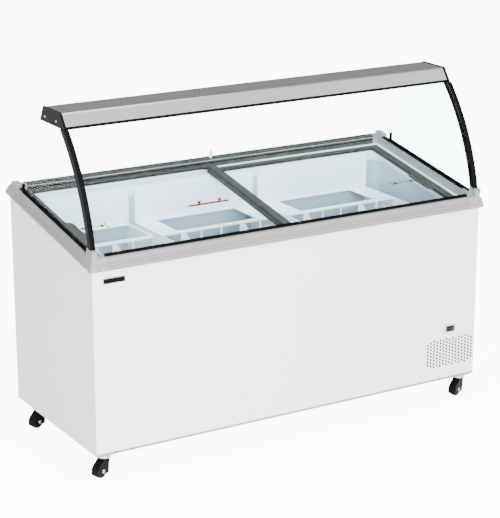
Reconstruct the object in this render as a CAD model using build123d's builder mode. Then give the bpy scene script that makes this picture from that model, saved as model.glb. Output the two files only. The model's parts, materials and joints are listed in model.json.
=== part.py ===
"""Slant-top scooping freezer with a curved glass canopy, on four swivel castors.

Millimetres, +Z up, X along the counter, -Y towards the customer, +Y towards the operator.
The origin is on the floor, under the middle of the cabinet.
The top frame, the lids and everything that seats on them are drawn on the sloping deck plane.
"""
from build123d import *
from math import atan2, cos, radians, sin, tan
import os

os.makedirs("parts", exist_ok=True)

# ---------------------------------------------------------------- cabinet
body_width = 1525.0
body_depth = 626.0
front_height = 637.0  # cabinet side at its front edge, from underside to deck
rear_height = 747.0  # the same at its rear edge
castor_height = 82.0
panel_t = 1.5
tray_t = 2.0
lip_height = 8.0

# ---------------------------------------------------------------- top frame
overhang = 12.5
rail_height = 33.0
rail_depth = 28.0  # from the cabinet face inwards to the rail's inner wall
rail_leg = 18.0  # how far the rail and the mouth reach down inside the cabinet
skirt_gap = 1.5
seal_width = 8.0
front_seal_width = 11.5
seal_groove_depth = 9.0
seal_stand = 6.0  # how far a glass seal stands above the rail
front_seal_inset = 11.5
side_seal_inset = 7.0
corner_long = 63.0
corner_short = 60.0  # along the cabinet side, at the front
corner_rear = 58.0
pedestal_height = 24.0

# ---------------------------------------------------------------- lids
upper_ledge = 2.0  # height of the upper track above the deck plane
upper_step = 12.0  # width of the upper track
mouth_side = 44.0  # from the cabinet side to the mouth of the tank
mouth_long = 60.0  # from the cabinet front and back to the mouth of the tank
lid_t = 12.5
lid_clearance = 1.5  # between the underside of the upper lid and the top of the lower one
lid_gap = 0.5
lower_ledge = upper_ledge - lid_t - lid_clearance
lid_end_gap = 1.0
stile_width = 30.0
lid_member = 16.0
lid_glass_t = 4.0
lid_glass_seat = 6.0
lid_corner_radius = 28.0
pull_length = 144.0
pull_depth = 22.0
pull_y = -72.0

# ---------------------------------------------------------------- tank
wall_side = 45.0
wall_long = 63.0
floor_thickness = 66.0
liner_t = 1.5
tank_radius = 40.0
shoulder_height = 465.0  # above the cabinet's underside
shoulder_width = 15.0
collar_t = 4.0
collar_drop = 45.0

# ---------------------------------------------------------------- compressor bay
bay_width = 262.0
bay_height = 270.0
bay_wall = 45.0

# ---------------------------------------------------------------- canopy and glass
glass_t = 5.0
side_glass_t = 5.0
canopy_inset = 14.5  # from the cabinet side to the canopy's end
canopy_wall = 3.0
canopy_top = 1096.0  # above the cabinet's underside
canopy_front_drop = 40.0
canopy_back_drop = 45.0
canopy_fold_y = -93.0
canopy_front_y = -122.0
canopy_rear_y = 30.0
canopy_rear_low_y = 54.0
cap_t = 9.0
cap_drop = 48.0
cap_rim = 1.5
post_width = 18.0
post_depth = 22.0
post_inset = 1.5  # from the cabinet side to the outer face of the end posts
post_foot_inset = 9.0  # from the cabinet front back to the foot of the front curve
post_head_y = -131.0
post_bulge = 26.0
glass_inset = 4.0  # the glass lies this far behind the post's front edge
side_glass_rear_inset = 97.0  # from the cabinet back to the side panes' rear edge
side_glass_knee = 795.0
clip_length = 9.0

# ---------------------------------------------------------------- racks
rack_t = 4.0
rack_deck_height = 592.0
rack_back_height = 123.0
rack_front_y = 56.0
rack_side_front_y = -50.0
rack_bar = 6.0
rack_bay = 80.0
rack_radius = 12.0
rack_end_gap = 57.5  # between the outer racks and the ends of the tank
rack_split_left = 0.4655  # where the left and middle racks part, as a share of the tank's half width
rack_split_right = 0.2383
rack_gap_left = 26.0
rack_gap_right = 22.0
rack_cut_front = 20.0  # from the front of a rack's deck to its cut-out
rack_cut_rear = 16.0
rack_tier_side = 28.0  # border of the lower tier's cut-out
rack_tier_long = 30.0

# ---------------------------------------------------------------- castors
castor_side_inset = 40.5  # from the cabinet side to the kingpins
castor_front_inset = 30.0
castor_rear_inset = 98.0
castor_swing = 205.0  # direction in which the wheels trail, in degrees from +X
castor_trail = 22.0
wheel_radius = 25.0
wheel_width = 20.0
axle_radius = 3.0
kingpin_radius = 5.0
running_gap = 0.05
hood_t = 3.0

# ---------------------------------------------------------------- fasteners
screw_head_radius = 3.6
screw_shank_radius = 2.0
screw_head_height = 2.2

# ---------------------------------------------------------------- worked out
slope = atan2(rear_height - front_height, body_depth)
half_w = body_width / 2
half_d = body_depth / 2
base_z = castor_height
front_top = base_z + front_height
rear_top = base_z + rear_height
deck_mid = (front_top + rear_top) / 2
deck_half = half_d / cos(slope)
deck = Plane(origin=(0, 0, deck_mid), x_dir=(1, 0, 0), z_dir=(0, -sin(slope), cos(slope)))
frame_half_x = half_w + overhang
frame_half_y = deck_half + overhang
rail_half_x = frame_half_x - corner_long
rail_front_y = frame_half_y - corner_short
rail_rear_y = frame_half_y - corner_rear
leg_gap = panel_t + rail_leg * tan(slope) + 1.0
inner_x = half_w - panel_t
inner_y = half_d - panel_t
canopy_half = half_w - canopy_inset
post_face = half_w - post_inset
post_foot_y = -(half_d - post_foot_inset)
side_glass_rear_y = half_d - side_glass_rear_inset
castor_x = half_w - castor_side_inset
castor_front_y = -(half_d - castor_front_inset)
castor_rear_y = half_d - castor_rear_inset


def deck_z(y):
    """Height of the deck plane above the floor at a place y in front of or behind the middle."""
    return deck_mid + y * tan(slope)


def on_deck(x, y, v=0.0):
    """Global point at x, y along the slope and v above the deck plane."""
    return deck.from_local_coords((x, y, v))


def long_section(x):
    """Plane across the front and rear rails: sketch X runs up the slope, sketch Y off the deck."""
    return Plane(origin=on_deck(x, 0), x_dir=deck.y_dir, z_dir=(1, 0, 0))


def side_section(y):
    """Plane across the side rails: sketch X is the cabinet's X, and extrusion runs to the front."""
    return Plane(origin=on_deck(0, y), x_dir=(1, 0, 0), z_dir=-deck.y_dir)


# ================================================================ cabinet shell
def cabinet_outline(half_depth, low, drop=0.0):
    """Side view of the cabinet: level base, upright front and rear, sloping top."""
    Polyline(
        (-half_depth, low),
        (half_depth, low),
        (half_depth, deck_z(half_depth) - drop),
        (-half_depth, deck_z(-half_depth) - drop),
        close=True,
    )


with BuildPart() as left_panel:
    with BuildSketch(Plane.YZ.offset(-half_w)):
        with BuildLine():
            cabinet_outline(half_d, base_z)
        make_face()
    extrude(amount=panel_t)
left_panel.part.label = "left_panel"
export_step(left_panel.part, "parts/left_panel.step")

with BuildPart() as right_panel:
    with BuildSketch(Plane.YZ.offset(inner_x)):
        with BuildLine():
            cabinet_outline(half_d, base_z)
        make_face()
    extrude(amount=panel_t)
right_panel.part.label = "right_panel"
export_step(right_panel.part, "parts/right_panel.step")

# ---- front panel: a field of staggered vent holes and the window of the temperature display
bay_x = half_w - bay_width
vent_columns = 15
vent_rows = 9
vent_pitch_x = 13.8
vent_pitch_z = 12.3
vent_radius = 4.4
vent_x = bay_x + 153.0
vent_z = base_z + 104.0
display_x = bay_x + 151.5
display_z = base_z + 191.5
display_width = 46.0
display_height = 30.0
display_body_width = 40.0
display_body_height = 24.0


def vent_points():
    """Centres of the vent holes: staggered columns, the first and last of them cut short."""
    points = []
    for column in range(vent_columns):
        rows = vent_rows - column % 2
        if column in (0, vent_columns - 1):
            rows = vent_rows - 2
        x = vent_x + (column - (vent_columns - 1) / 2) * vent_pitch_x
        points += [(x, vent_z + (row - (rows - 1) / 2) * vent_pitch_z) for row in range(rows)]
    return points


front_low = base_z + lip_height
with BuildPart() as front_panel:
    with BuildSketch(Plane.XZ.offset(inner_y)):
        with BuildLine():
            Polyline(
                (-inner_x, front_low),
                (inner_x, front_low),
                (inner_x, front_top),
                (-inner_x, front_top),
                close=True,
            )
        make_face()
        with Locations(*vent_points()):
            Circle(vent_radius, mode=Mode.SUBTRACT)
        with Locations((display_x, display_z)):
            Rectangle(display_body_width, display_body_height, mode=Mode.SUBTRACT)
    extrude(amount=panel_t)
front_panel.part.label = "front_panel"
export_step(front_panel.part, "parts/front_panel.step")

# ---- rear panel, with the opening of the compressor bay
bay_mid_x = (bay_x + inner_x) / 2
rear_cover_width = bay_width - 6.0
rear_cover_height = 252.0
rear_cover_low = base_z + 6.0
rear_cover_z = rear_cover_low + rear_cover_height / 2
rear_cover_lap = 12.0
rear_cover_x = half_w - 3.0 - rear_cover_width / 2

with BuildPart() as back_panel:
    with BuildSketch(Plane.XZ.offset(-half_d)):
        with BuildLine():
            Polyline(
                (-inner_x, base_z + tray_t),
                (inner_x, base_z + tray_t),
                (inner_x, deck_z(inner_y)),
                (-inner_x, deck_z(inner_y)),
                close=True,
            )
        make_face()
        with Locations((rear_cover_x, rear_cover_z)):
            Rectangle(
                rear_cover_width - 2 * rear_cover_lap,
                rear_cover_height - 2 * rear_cover_lap,
                mode=Mode.SUBTRACT,
            )
    extrude(amount=panel_t)
back_panel.part.label = "back_panel"
export_step(back_panel.part, "parts/back_panel.step")

# ---- base tray: a galvanised floor with an upturned front lip that shows under the front panel
lip_screw_x = (70.0 - inner_x, 130.0 - inner_x, inner_x - 150.0)
lip_screw_z = base_z + lip_height / 2 + tray_t / 2
lip_screws = [Location((x, -half_d, lip_screw_z), (90, 0, 0)) for x in lip_screw_x]

with BuildPart() as base_tray:
    with BuildSketch(Plane.YZ.offset(-inner_x)):
        with BuildLine():
            Polyline(
                (-half_d, base_z),
                (half_d, base_z),
                (half_d, base_z + tray_t),
                (-inner_y, base_z + tray_t),
                (-inner_y, base_z + lip_height),
                (-half_d, base_z + lip_height),
                close=True,
            )
        make_face()
    extrude(amount=2 * inner_x)
    with Locations(*lip_screws):
        Cylinder(screw_shank_radius, 4 * panel_t, mode=Mode.SUBTRACT)
base_tray.part.label = "base_tray"
export_step(base_tray.part, "parts/base_tray.step")

# ================================================================ tank, liner and foam
tank_y = rail_leg * sin(slope)  # the mouth leans back as it goes down off the deck
tank_half_x = half_w - wall_side
tank_half_y = half_d - wall_long
tank_floor = base_z + floor_thickness
shoulder_z = base_z + shoulder_height
step_x = bay_x - bay_wall
step_z = base_z + bay_height + bay_wall
above_all = rear_top + 200.0


def tank_block(grow, top):
    """The tank's space, grown by a wall: a deep well, a shelf over the bay and a wider mouth."""
    well_mid = (step_x - tank_half_x) / 2
    well_width = step_x + tank_half_x
    with BuildPart() as block:
        with BuildSketch(Plane.XY.offset(tank_floor - grow)):
            with Locations((well_mid, tank_y)):
                RectangleRounded(
                    well_width + 2 * grow,
                    2 * (tank_half_y - shoulder_width + grow),
                    tank_radius + grow,
                )
        extrude(amount=shoulder_z - tank_floor)
        with BuildSketch(Plane.XY.offset(step_z - grow)):
            with Locations((0, tank_y)):
                RectangleRounded(
                    2 * (tank_half_x + grow),
                    2 * (tank_half_y - shoulder_width + grow),
                    tank_radius + grow,
                )
        extrude(amount=shoulder_z - step_z)
        with BuildSketch(Plane.XY.offset(shoulder_z - grow)):
            with Locations((0, tank_y)):
                RectangleRounded(
                    2 * (tank_half_x + grow), 2 * (tank_half_y + grow), tank_radius + grow
                )
        extrude(amount=above_all - shoulder_z)
        split(bisect_by=deck.offset(top), keep=Keep.BOTTOM)
    return block.part


def mouth_block(grow, low, high):
    """Upright-walled block of the tank's mouth between two planes parallel to the deck."""
    with BuildPart() as block:
        with BuildSketch(Plane.XY.offset(shoulder_z)):
            with Locations((0, tank_y)):
                RectangleRounded(
                    2 * (tank_half_x + grow), 2 * (tank_half_y + grow), tank_radius + grow
                )
        extrude(amount=above_all - shoulder_z)
        split(bisect_by=deck.offset(high), keep=Keep.BOTTOM)
        split(bisect_by=deck.offset(low), keep=Keep.TOP)
    return block.part


tank_space = tank_block(0.0, -collar_drop)
tank_outer = tank_block(liner_t, -collar_drop)

with BuildPart() as tank_liner:
    add(tank_outer)
    add(tank_space, mode=Mode.SUBTRACT)
tank_liner.part.label = "tank_liner"
export_step(tank_liner.part, "parts/tank_liner.step")

# ---- evaporator: loops of tube round the tank, joined by two upright headers, in the foam
evaporator_radius = 4.0
evaporator_gap = 6.0
evaporator_loops = 5
evaporator_low = step_z + 30.0
evaporator_pitch = 50.0
evaporator_grow = liner_t + evaporator_gap + evaporator_radius
evaporator_corner = tank_radius + evaporator_grow
loop_half_x = tank_half_x + evaporator_grow
loop_half_y = tank_half_y + evaporator_grow
header_x = tank_half_x * 0.8
header_height = evaporator_pitch * (evaporator_loops - 1)

with BuildPart() as evaporator:
    for turn in range(evaporator_loops):
        loop_z = evaporator_low + turn * evaporator_pitch
        for side in (-1, 1):
            with BuildLine(Plane.XY.offset(loop_z)) as half_loop:
                FilletPolyline(
                    (0, tank_y + loop_half_y),
                    (side * loop_half_x, tank_y + loop_half_y),
                    (side * loop_half_x, tank_y - loop_half_y),
                    (0, tank_y - loop_half_y),
                    radius=evaporator_corner,
                )
            with BuildSketch(Plane(origin=(0, tank_y + loop_half_y, loop_z), z_dir=(side, 0, 0))):
                Circle(evaporator_radius)
            sweep(path=half_loop.wire())
    for side in (-1, 1):
        with BuildSketch(Plane.XY.offset(evaporator_low)):
            with Locations((side * header_x, tank_y + loop_half_y)):
                Circle(evaporator_radius)
        extrude(amount=header_height)
evaporator.part.label = "evaporator"
export_step(evaporator.part, "parts/evaporator.step")

# ---- foam insulation, poured round the tank, with the compressor bay left open at its right end
foam_mouth = mouth_block(collar_t, -collar_drop, above_all)

with BuildPart() as foam_insulation:
    with BuildSketch(Plane.YZ.offset(-inner_x)):
        with BuildLine():
            cabinet_outline(inner_y, base_z + tray_t, rail_leg / cos(slope))
        make_face()
    extrude(amount=2 * inner_x)
    with BuildSketch(Plane.XY.offset(base_z)):
        with Locations(((bay_x + half_w) / 2, 0)):
            Rectangle(bay_width, body_depth)
    extrude(amount=bay_height, mode=Mode.SUBTRACT)
    add(tank_outer, mode=Mode.SUBTRACT)
    add(foam_mouth, mode=Mode.SUBTRACT)
    add(evaporator.part, mode=Mode.SUBTRACT)
foam_insulation.part.label = "foam_insulation"
export_step(foam_insulation.part, "parts/foam_insulation.step")

# ================================================================ top frame
rail_half_clear_x = half_w - rail_depth
rail_half_clear_y = deck_half - rail_depth


def rail_outline(edge, side, seal_inset=None, seal_size=seal_width):
    """Closed section of a rail: ribbed outer nose, flat top with a seal groove, and inner leg."""
    section = [
        (skirt_gap, -8),
        (overhang - 3.5, -8),
        (overhang, -4),
        (overhang, 4),
        (overhang - 3, 8),
        (overhang - 3, 14),
        (overhang - 6.5, 17),
        (overhang - 6.5, 23),
        (overhang - 11.5, rail_height - 3),
        (overhang - 15.5, rail_height),
    ]
    if seal_inset is not None:
        section += [
            (-seal_inset, rail_height),
            (-seal_inset, rail_height - seal_groove_depth),
            (-seal_inset - seal_size, rail_height - seal_groove_depth),
            (-seal_inset - seal_size, rail_height),
        ]
    section += [
        (-rail_depth, rail_height),
        (-rail_depth, -rail_leg),
        (-leg_gap, -rail_leg),
        (-leg_gap, 0),
        (skirt_gap, 0),
    ]
    Polyline(*[(side * (edge + w), v) for w, v in section], close=True)


chamber_low = -rail_leg + 3
chamber_high = rail_height - seal_groove_depth - 3


def rail_chamber(edge, side):
    """The hollow chamber inside a rail."""
    out = edge - leg_gap - 3.0
    inn = edge - rail_depth + 3.0
    Polyline(
        (side * out, chamber_low),
        (side * inn, chamber_low),
        (side * inn, chamber_high),
        (side * out, chamber_high),
        close=True,
    )


for name, side, inset in (("front_rail", -1, front_seal_inset), ("back_rail", 1, None)):
    with BuildPart() as rail:
        with BuildSketch(long_section(-rail_half_x)):
            with BuildLine():
                rail_outline(deck_half, side, inset, front_seal_width)
            make_face()
            with BuildLine():
                rail_chamber(deck_half, side)
            make_face(mode=Mode.SUBTRACT)
        extrude(amount=2 * rail_half_x)
    rail.part.label = name
    export_step(rail.part, f"parts/{name}.step")

for name, side in (("left_rail", -1), ("right_rail", 1)):
    with BuildPart() as rail:
        with BuildSketch(side_section(rail_rear_y)):
            with BuildLine():
                rail_outline(half_w, side, side_seal_inset)
            make_face()
            with BuildLine():
                rail_chamber(half_w, side)
            make_face(mode=Mode.SUBTRACT)
        extrude(amount=rail_front_y + rail_rear_y)
    rail.part.label = name
    export_step(rail.part, f"parts/{name}.step")

# ---- screws share one shape: a low domed head on a short shank
screw_depth = 4.0


def screw_solids(places, depth):
    """Screws at a list of places, each with its head outside and its shank along -Z of the place."""
    with BuildPart() as screws:
        with Locations(*places):
            with Locations((0, 0, -depth)):
                Cylinder(
                    screw_shank_radius, depth, align=(Align.CENTER, Align.CENTER, Align.MIN)
                )
            Cone(
                screw_head_radius,
                screw_head_radius * 0.6,
                screw_head_height,
                align=(Align.CENTER, Align.CENTER, Align.MIN),
            )
    return screws.part


def side_place(x, y, v, side):
    """A place on a side face of the top frame, facing outwards along X."""
    return Plane(origin=on_deck(x, y, v), x_dir=deck.y_dir, z_dir=(side, 0, 0)).location


def end_place(x, y, v, side):
    """A place on the front or rear face of the top frame, facing outwards along the slope."""
    return Plane(origin=on_deck(x, y, v), x_dir=(1, 0, 0), z_dir=deck.y_dir * side).location


def top_place(x, y, v):
    """A place facing straight off the deck."""
    return Plane(origin=on_deck(x, y, v), x_dir=(1, 0, 0), z_dir=deck.z_dir).location


# ---- corner brackets: the rail's section mitred round the corner, with a block on top
pedestal_top = rail_height + pedestal_height
pedestal_out_x = half_w + 1.5
pedestal_in_x = post_face - post_width
pedestal_front = deck_half - 2.0
pedestal_rear = deck_half - 46.0
block_height = 9.0
block_rear = deck_half - 2.0
block_front = rail_rear_y + 1.0
block_in_x = half_w - rail_depth + 2.0
dimple_x = (14.0, 45.0)
dimple_y = 24.0


def corner_screws(side_x, side_y):
    """Places of the screws of one corner bracket."""
    if side_y < 0:
        places = [
            end_place(side_x * (frame_half_x - back), side_y * frame_half_y, 0, side_y)
            for back in dimple_x
        ]
        places.append(side_place(side_x * frame_half_x, side_y * (frame_half_y - dimple_y), 0, side_x))
        return places
    mid_x = side_x * (block_in_x + half_w) / 2
    return [
        top_place(mid_x, block_front + 9.0, rail_height + block_height),
        top_place(mid_x, block_rear - 9.0, rail_height + block_height),
    ]


frame_screw_places = []
corner_parts = {}
for name, side_x, side_y in (
    ("front_left_corner", -1, -1),
    ("front_right_corner", 1, -1),
    ("back_left_corner", -1, 1),
    ("back_right_corner", 1, 1),
):
    mitre = Plane(
        origin=on_deck(side_x * frame_half_x, side_y * frame_half_y),
        x_dir=deck.z_dir,
        z_dir=deck.x_dir * -side_x + deck.y_dir * side_y,
    )
    if side_y < 0:
        short_length = corner_short
        top_in, top_out = pedestal_in_x, pedestal_out_x
        top_near, top_far = pedestal_rear, pedestal_front
        top_height = pedestal_height
    else:
        short_length = corner_rear
        top_in, top_out = block_in_x, half_w
        top_near, top_far = block_front, block_rear
        top_height = block_height
    with BuildPart() as long_arm:
        with BuildSketch(long_section(side_x * rail_half_x)):
            with BuildLine():
                rail_outline(deck_half, side_y)
            make_face()
        extrude(amount=side_x * corner_long)
        split(bisect_by=mitre, keep=Keep.TOP)
    with BuildPart() as short_arm:
        with BuildSketch(side_section(side_y * (frame_half_y - short_length))):
            with BuildLine():
                rail_outline(half_w, side_x)
            make_face()
        extrude(amount=-side_y * short_length)
        split(bisect_by=mitre, keep=Keep.BOTTOM)
    screw_places = corner_screws(side_x, side_y)
    frame_screw_places += screw_places
    with BuildPart() as corner:
        add(long_arm.part)
        add(short_arm.part)
        with BuildSketch(deck.offset(rail_height - 6.0)):
            with Locations((side_x * (top_in + top_out) / 2, side_y * (top_near + top_far) / 2)):
                RectangleRounded(top_out - top_in, top_far - top_near, 4.0)
        extrude(amount=top_height + 6.0)
        with Locations(*screw_places):
            Cylinder(screw_shank_radius, 2 * screw_depth, mode=Mode.SUBTRACT)
    corner.part.label = name
    export_step(corner.part, f"parts/{name}.step")
    corner_parts[name] = corner.part

# ---- white mouth of the tank: two tracks for the lids and a skirt down to the liner
mouth_x = half_w - mouth_side
mouth_y = deck_half - mouth_long
collar_skirt_outer = mouth_block(collar_t, -collar_drop, -rail_leg)
collar_skirt_inner = mouth_block(0.0, -collar_drop - 1.0, -rail_leg + 1.0)

with BuildPart() as mouth_collar:
    with BuildSketch(deck.offset(-rail_leg)):
        Rectangle(2 * rail_half_clear_x, 2 * rail_half_clear_y)
        RectangleRounded(2 * mouth_x, 2 * mouth_y, tank_radius, mode=Mode.SUBTRACT)
    extrude(amount=rail_leg + lower_ledge)
    with BuildSketch(deck.offset(lower_ledge)):
        Rectangle(2 * rail_half_clear_x, 2 * rail_half_clear_y)
        Rectangle(
            2 * (rail_half_clear_x - upper_step),
            2 * (rail_half_clear_y - upper_step),
            mode=Mode.SUBTRACT,
        )
    extrude(amount=upper_ledge - lower_ledge)
    add(collar_skirt_outer)
    add(collar_skirt_inner, mode=Mode.SUBTRACT)
mouth_collar.part.label = "mouth_collar"
export_step(mouth_collar.part, "parts/mouth_collar.step")

# ================================================================ glass, posts and seals
arc_top_z = base_z + canopy_top - cap_drop
foot_z = deck_z(post_foot_y) + pedestal_top / cos(slope)
foot_reach = 60.0  # strips on the front curve are drawn longer than they are and cut level
head_reach = 20.0


def front_curve(inset, reach):
    """Ends and middle of the front curve, moved in by inset and run past its foot by reach."""
    foot = Vector(post_foot_y, foot_z)
    head = Vector(post_head_y, arc_top_z)
    chord = (head - foot).length
    radius = chord**2 / (8 * post_bulge) + post_bulge / 2
    along = (head - foot).normalized()
    inward = Vector(along.Y, -along.X)
    centre = (foot + head) * 0.5 + inward * (radius - post_bulge)
    r = radius - inset
    half_angle = atan2(chord / 2, radius - post_bulge)
    foot_angle = -half_angle - reach / radius
    head_angle = half_angle + head_reach / radius
    points = []
    for angle in (foot_angle, (foot_angle + head_angle) / 2, head_angle):
        points.append(centre + along * (r * sin(angle)) - inward * (r * cos(angle)))
    return [(p.X, p.Y) for p in points]


def curved_strip(outer_inset, inner_inset, reach):
    """Closed outline between two insets of the front curve."""
    outer = front_curve(outer_inset, reach)
    inner = front_curve(inner_inset, reach)
    ThreePointArc(*outer)
    Line(outer[2], inner[2])
    ThreePointArc(*inner)
    Line(inner[0], outer[0])


post_inner = post_face - post_width

# ---- one black end post at each side, grooved along its front face
groove_depth = 1.2
groove_width = 2.4
groove_places = (4.5, 9.0, 13.5)
with BuildPart() as end_posts:
    for side in (-1, 1):
        with BuildSketch(Plane.YZ.offset(side * post_inner)):
            with BuildLine():
                curved_strip(0.0, post_depth, foot_reach)
            make_face()
        extrude(amount=side * post_width)
    for side in (-1, 1):
        for place in groove_places:
            with BuildSketch(Plane.YZ.offset(side * (post_inner + place - groove_width / 2))):
                with BuildLine():
                    curved_strip(-1.0, groove_depth, foot_reach)
                make_face()
            extrude(amount=side * groove_width, mode=Mode.SUBTRACT)
    split(bisect_by=deck.offset(pedestal_top), keep=Keep.TOP)
    split(bisect_by=Plane.XY.offset(arc_top_z), keep=Keep.BOTTOM)
end_posts.part.label = "end_posts"
export_step(end_posts.part, "parts/end_posts.step")

# ---- curved front pane, standing in the front seal
seal_top = rail_height + seal_stand
front_glass_seat = rail_height + 1.0
side_glass_bottom = rail_height - seal_groove_depth + 2.0
with BuildPart() as front_glass:
    with BuildSketch(Plane.YZ.offset(-post_inner)):
        with BuildLine():
            curved_strip(glass_inset, glass_inset + glass_t, foot_reach)
        make_face()
    extrude(amount=2 * post_inner)
    split(bisect_by=deck.offset(front_glass_seat), keep=Keep.TOP)
    split(bisect_by=Plane.XY.offset(arc_top_z), keep=Keep.BOTTOM)
front_glass.part.label = "front_glass"
export_step(front_glass.part, "parts/front_glass.step")

# ---- flat side panes: front edge against the post, rear edge raked forward to the canopy
side_glass_mid = half_w - side_seal_inset - seal_width / 2
knee_z = base_z + side_glass_knee
pane_low_z = deck_z(side_glass_rear_y) - 60.0
canopy_rear_reach = canopy_rear_low_y + 2.0
for name, side, notch in (
    ("left_glass", -1, "front_left_corner"),
    ("right_glass", 1, "front_right_corner"),
):
    front_edge = front_curve(post_depth, foot_reach + 60.0)
    with BuildPart() as pane:
        with BuildSketch(Plane.YZ.offset(side * (side_glass_mid - side_glass_t / 2))):
            with BuildLine():
                ThreePointArc(*front_edge)
                Polyline(
                    front_edge[2],
                    (canopy_rear_reach, front_edge[2][1]),
                    (canopy_rear_reach, arc_top_z),
                    (side_glass_rear_y, knee_z),
                    (side_glass_rear_y, pane_low_z),
                    front_edge[0],
                )
            make_face()
        extrude(amount=side * side_glass_t)
        split(bisect_by=deck.offset(side_glass_bottom), keep=Keep.TOP)
        split(bisect_by=Plane.XY.offset(arc_top_z), keep=Keep.BOTTOM)
        add(corner_parts[notch], mode=Mode.SUBTRACT)
    pane.part.label = name
    export_step(pane.part, f"parts/{name}.step")

# ---- black glass seals: a strip across the front and one along each side, ending in a clip
seal_low = rail_height - seal_groove_depth
side_seal_rear = (side_glass_rear_y + clip_length + rail_height * sin(slope)) / cos(slope)
clip_low = deck_z(side_glass_rear_y) + (rail_height + 1.0) / cos(slope)

with BuildPart() as glass_seals:
    front_seal_y = -(deck_half - front_seal_inset - front_seal_width / 2)
    with BuildSketch(deck.offset(seal_low)):
        with Locations((0, front_seal_y)):
            Rectangle(2 * rail_half_x, front_seal_width)
    extrude(amount=seal_top - seal_low)
    for side in (-1, 1):
        with BuildSketch(deck.offset(seal_low)):
            with Locations((side * side_glass_mid, (side_seal_rear - rail_front_y) / 2)):
                Rectangle(seal_width, side_seal_rear + rail_front_y)
        extrude(amount=seal_top - seal_low)
        with BuildSketch(Plane.YZ.offset(side * (side_glass_mid - seal_width / 2))):
            with Locations((side_glass_rear_y + clip_length / 2, (clip_low + knee_z) / 2)):
                Rectangle(clip_length, knee_z - clip_low)
        extrude(amount=side * seal_width)
        with BuildSketch(deck.offset(side_glass_bottom)):
            with Locations((side * side_glass_mid, 0)):
                Rectangle(side_glass_t, 4 * frame_half_y)
        long_slot = extrude(amount=seal_top, mode=Mode.PRIVATE)
        pane_end = Plane.XZ.offset(-side_glass_rear_y)
        pane_slot = split(long_slot, pane_end, Keep.TOP, mode=Mode.PRIVATE)
        add(pane_slot, mode=Mode.SUBTRACT)
    add(front_glass.part, mode=Mode.SUBTRACT)
glass_seals.part.label = "glass_seals"
export_step(glass_seals.part, "parts/glass_seals.step")

# ================================================================ canopy
canopy_top_z = base_z + canopy_top
canopy_front_z = canopy_top_z - canopy_front_drop
canopy_rear_low_z = canopy_top_z - canopy_back_drop
canopy_fold_radius = 14.0
canopy_rear_radius = 6.0


def canopy_floor(y):
    """Height of the canopy's underside at a place y."""
    share = (y - canopy_front_y) / (canopy_rear_low_y - canopy_front_y)
    return canopy_front_z + share * (canopy_rear_low_z - canopy_front_z)


with BuildPart() as canopy:
    with BuildSketch(Plane.YZ.offset(-canopy_half)) as canopy_section:
        with BuildLine():
            Polyline(
                (canopy_front_y, canopy_front_z),
                (canopy_fold_y, canopy_top_z),
                (canopy_rear_y, canopy_top_z),
                (canopy_rear_low_y, canopy_rear_low_z),
                close=True,
            )
        make_face()
        top_corners = canopy_section.vertices().group_by(Axis.Y)[-1].sort_by(Axis.X)
        fillet(top_corners[0], canopy_fold_radius)
        fillet(top_corners[-1], canopy_rear_radius)
        offset(amount=-canopy_wall, mode=Mode.SUBTRACT)
    extrude(amount=2 * canopy_half)
canopy.part.label = "canopy"
export_step(canopy.part, "parts/canopy.step")

# ---- black seal between the canopy's front lip and the curved glass
lip_seal_front = -6.0
lip_seal_depth = 10.0
with BuildPart() as canopy_seal:
    with BuildSketch(Plane.YZ.offset(-canopy_half)):
        with BuildLine():
            Polyline(
                (canopy_front_y + lip_seal_front, arc_top_z),
                (canopy_front_y + lip_seal_front + lip_seal_depth + 2.0, arc_top_z),
                (canopy_front_y + lip_seal_depth, canopy_floor(canopy_front_y + lip_seal_depth)),
                (canopy_front_y, canopy_front_z),
                close=True,
            )
        make_face()
    extrude(amount=2 * canopy_half)
canopy_seal.part.label = "canopy_seal"
export_step(canopy_seal.part, "parts/canopy_seal.step")

# ---- moulded end caps, a rim larger than the canopy, resting on the posts and the side panes
cap_front_run = (canopy_fold_y - canopy_front_y) / canopy_front_drop
cap_front_low_y = canopy_fold_y - cap_front_run * cap_drop
cap_screw_z = canopy_top_z - 30.0
cap_screw_y = (-68.0, 16.0)
cap_face_x = canopy_half + cap_t
cap_screw_places = [
    Plane(origin=(side * cap_face_x, y, cap_screw_z), x_dir=(0, 1, 0), z_dir=(side, 0, 0)).location
    for side in (-1, 1)
    for y in cap_screw_y
]

with BuildPart() as end_caps:
    for side in (-1, 1):
        with BuildSketch(Plane.YZ.offset(side * canopy_half)) as cap_section:
            with BuildLine():
                Polyline(
                    (cap_front_low_y - cap_rim, arc_top_z),
                    (canopy_fold_y - cap_rim, canopy_top_z + cap_rim),
                    (canopy_rear_y + cap_rim, canopy_top_z + cap_rim),
                    (canopy_rear_reach, arc_top_z),
                    close=True,
                )
            make_face()
            cap_top = cap_section.vertices().group_by(Axis.Y)[-1].sort_by(Axis.X)
            fillet(cap_top[0], canopy_fold_radius)
            fillet(cap_top[-1], canopy_rear_radius)
        extrude(amount=side * cap_t)
    with Locations(*cap_screw_places):
        Cylinder(screw_shank_radius, 2 * screw_depth, mode=Mode.SUBTRACT)
end_caps.part.label = "end_caps"
export_step(end_caps.part, "parts/end_caps.step")

# ---- light bar under the canopy
light_half = canopy_half - 128.0
light_front = -80.0
light_rear = -30.0
light_drop = 16.0
with BuildPart() as light_bar:
    with BuildSketch(Plane.YZ.offset(-light_half)):
        with BuildLine():
            Polyline(
                (light_front, canopy_floor(light_front)),
                (light_rear, canopy_floor(light_rear)),
                (light_rear - 6.0, canopy_floor(light_rear) - light_drop),
                (light_front + 6.0, canopy_floor(light_front) - light_drop),
                close=True,
            )
        make_face()
    extrude(amount=2 * light_half)
light_bar.part.label = "light_bar"
export_step(light_bar.part, "parts/light_bar.step")

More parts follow.
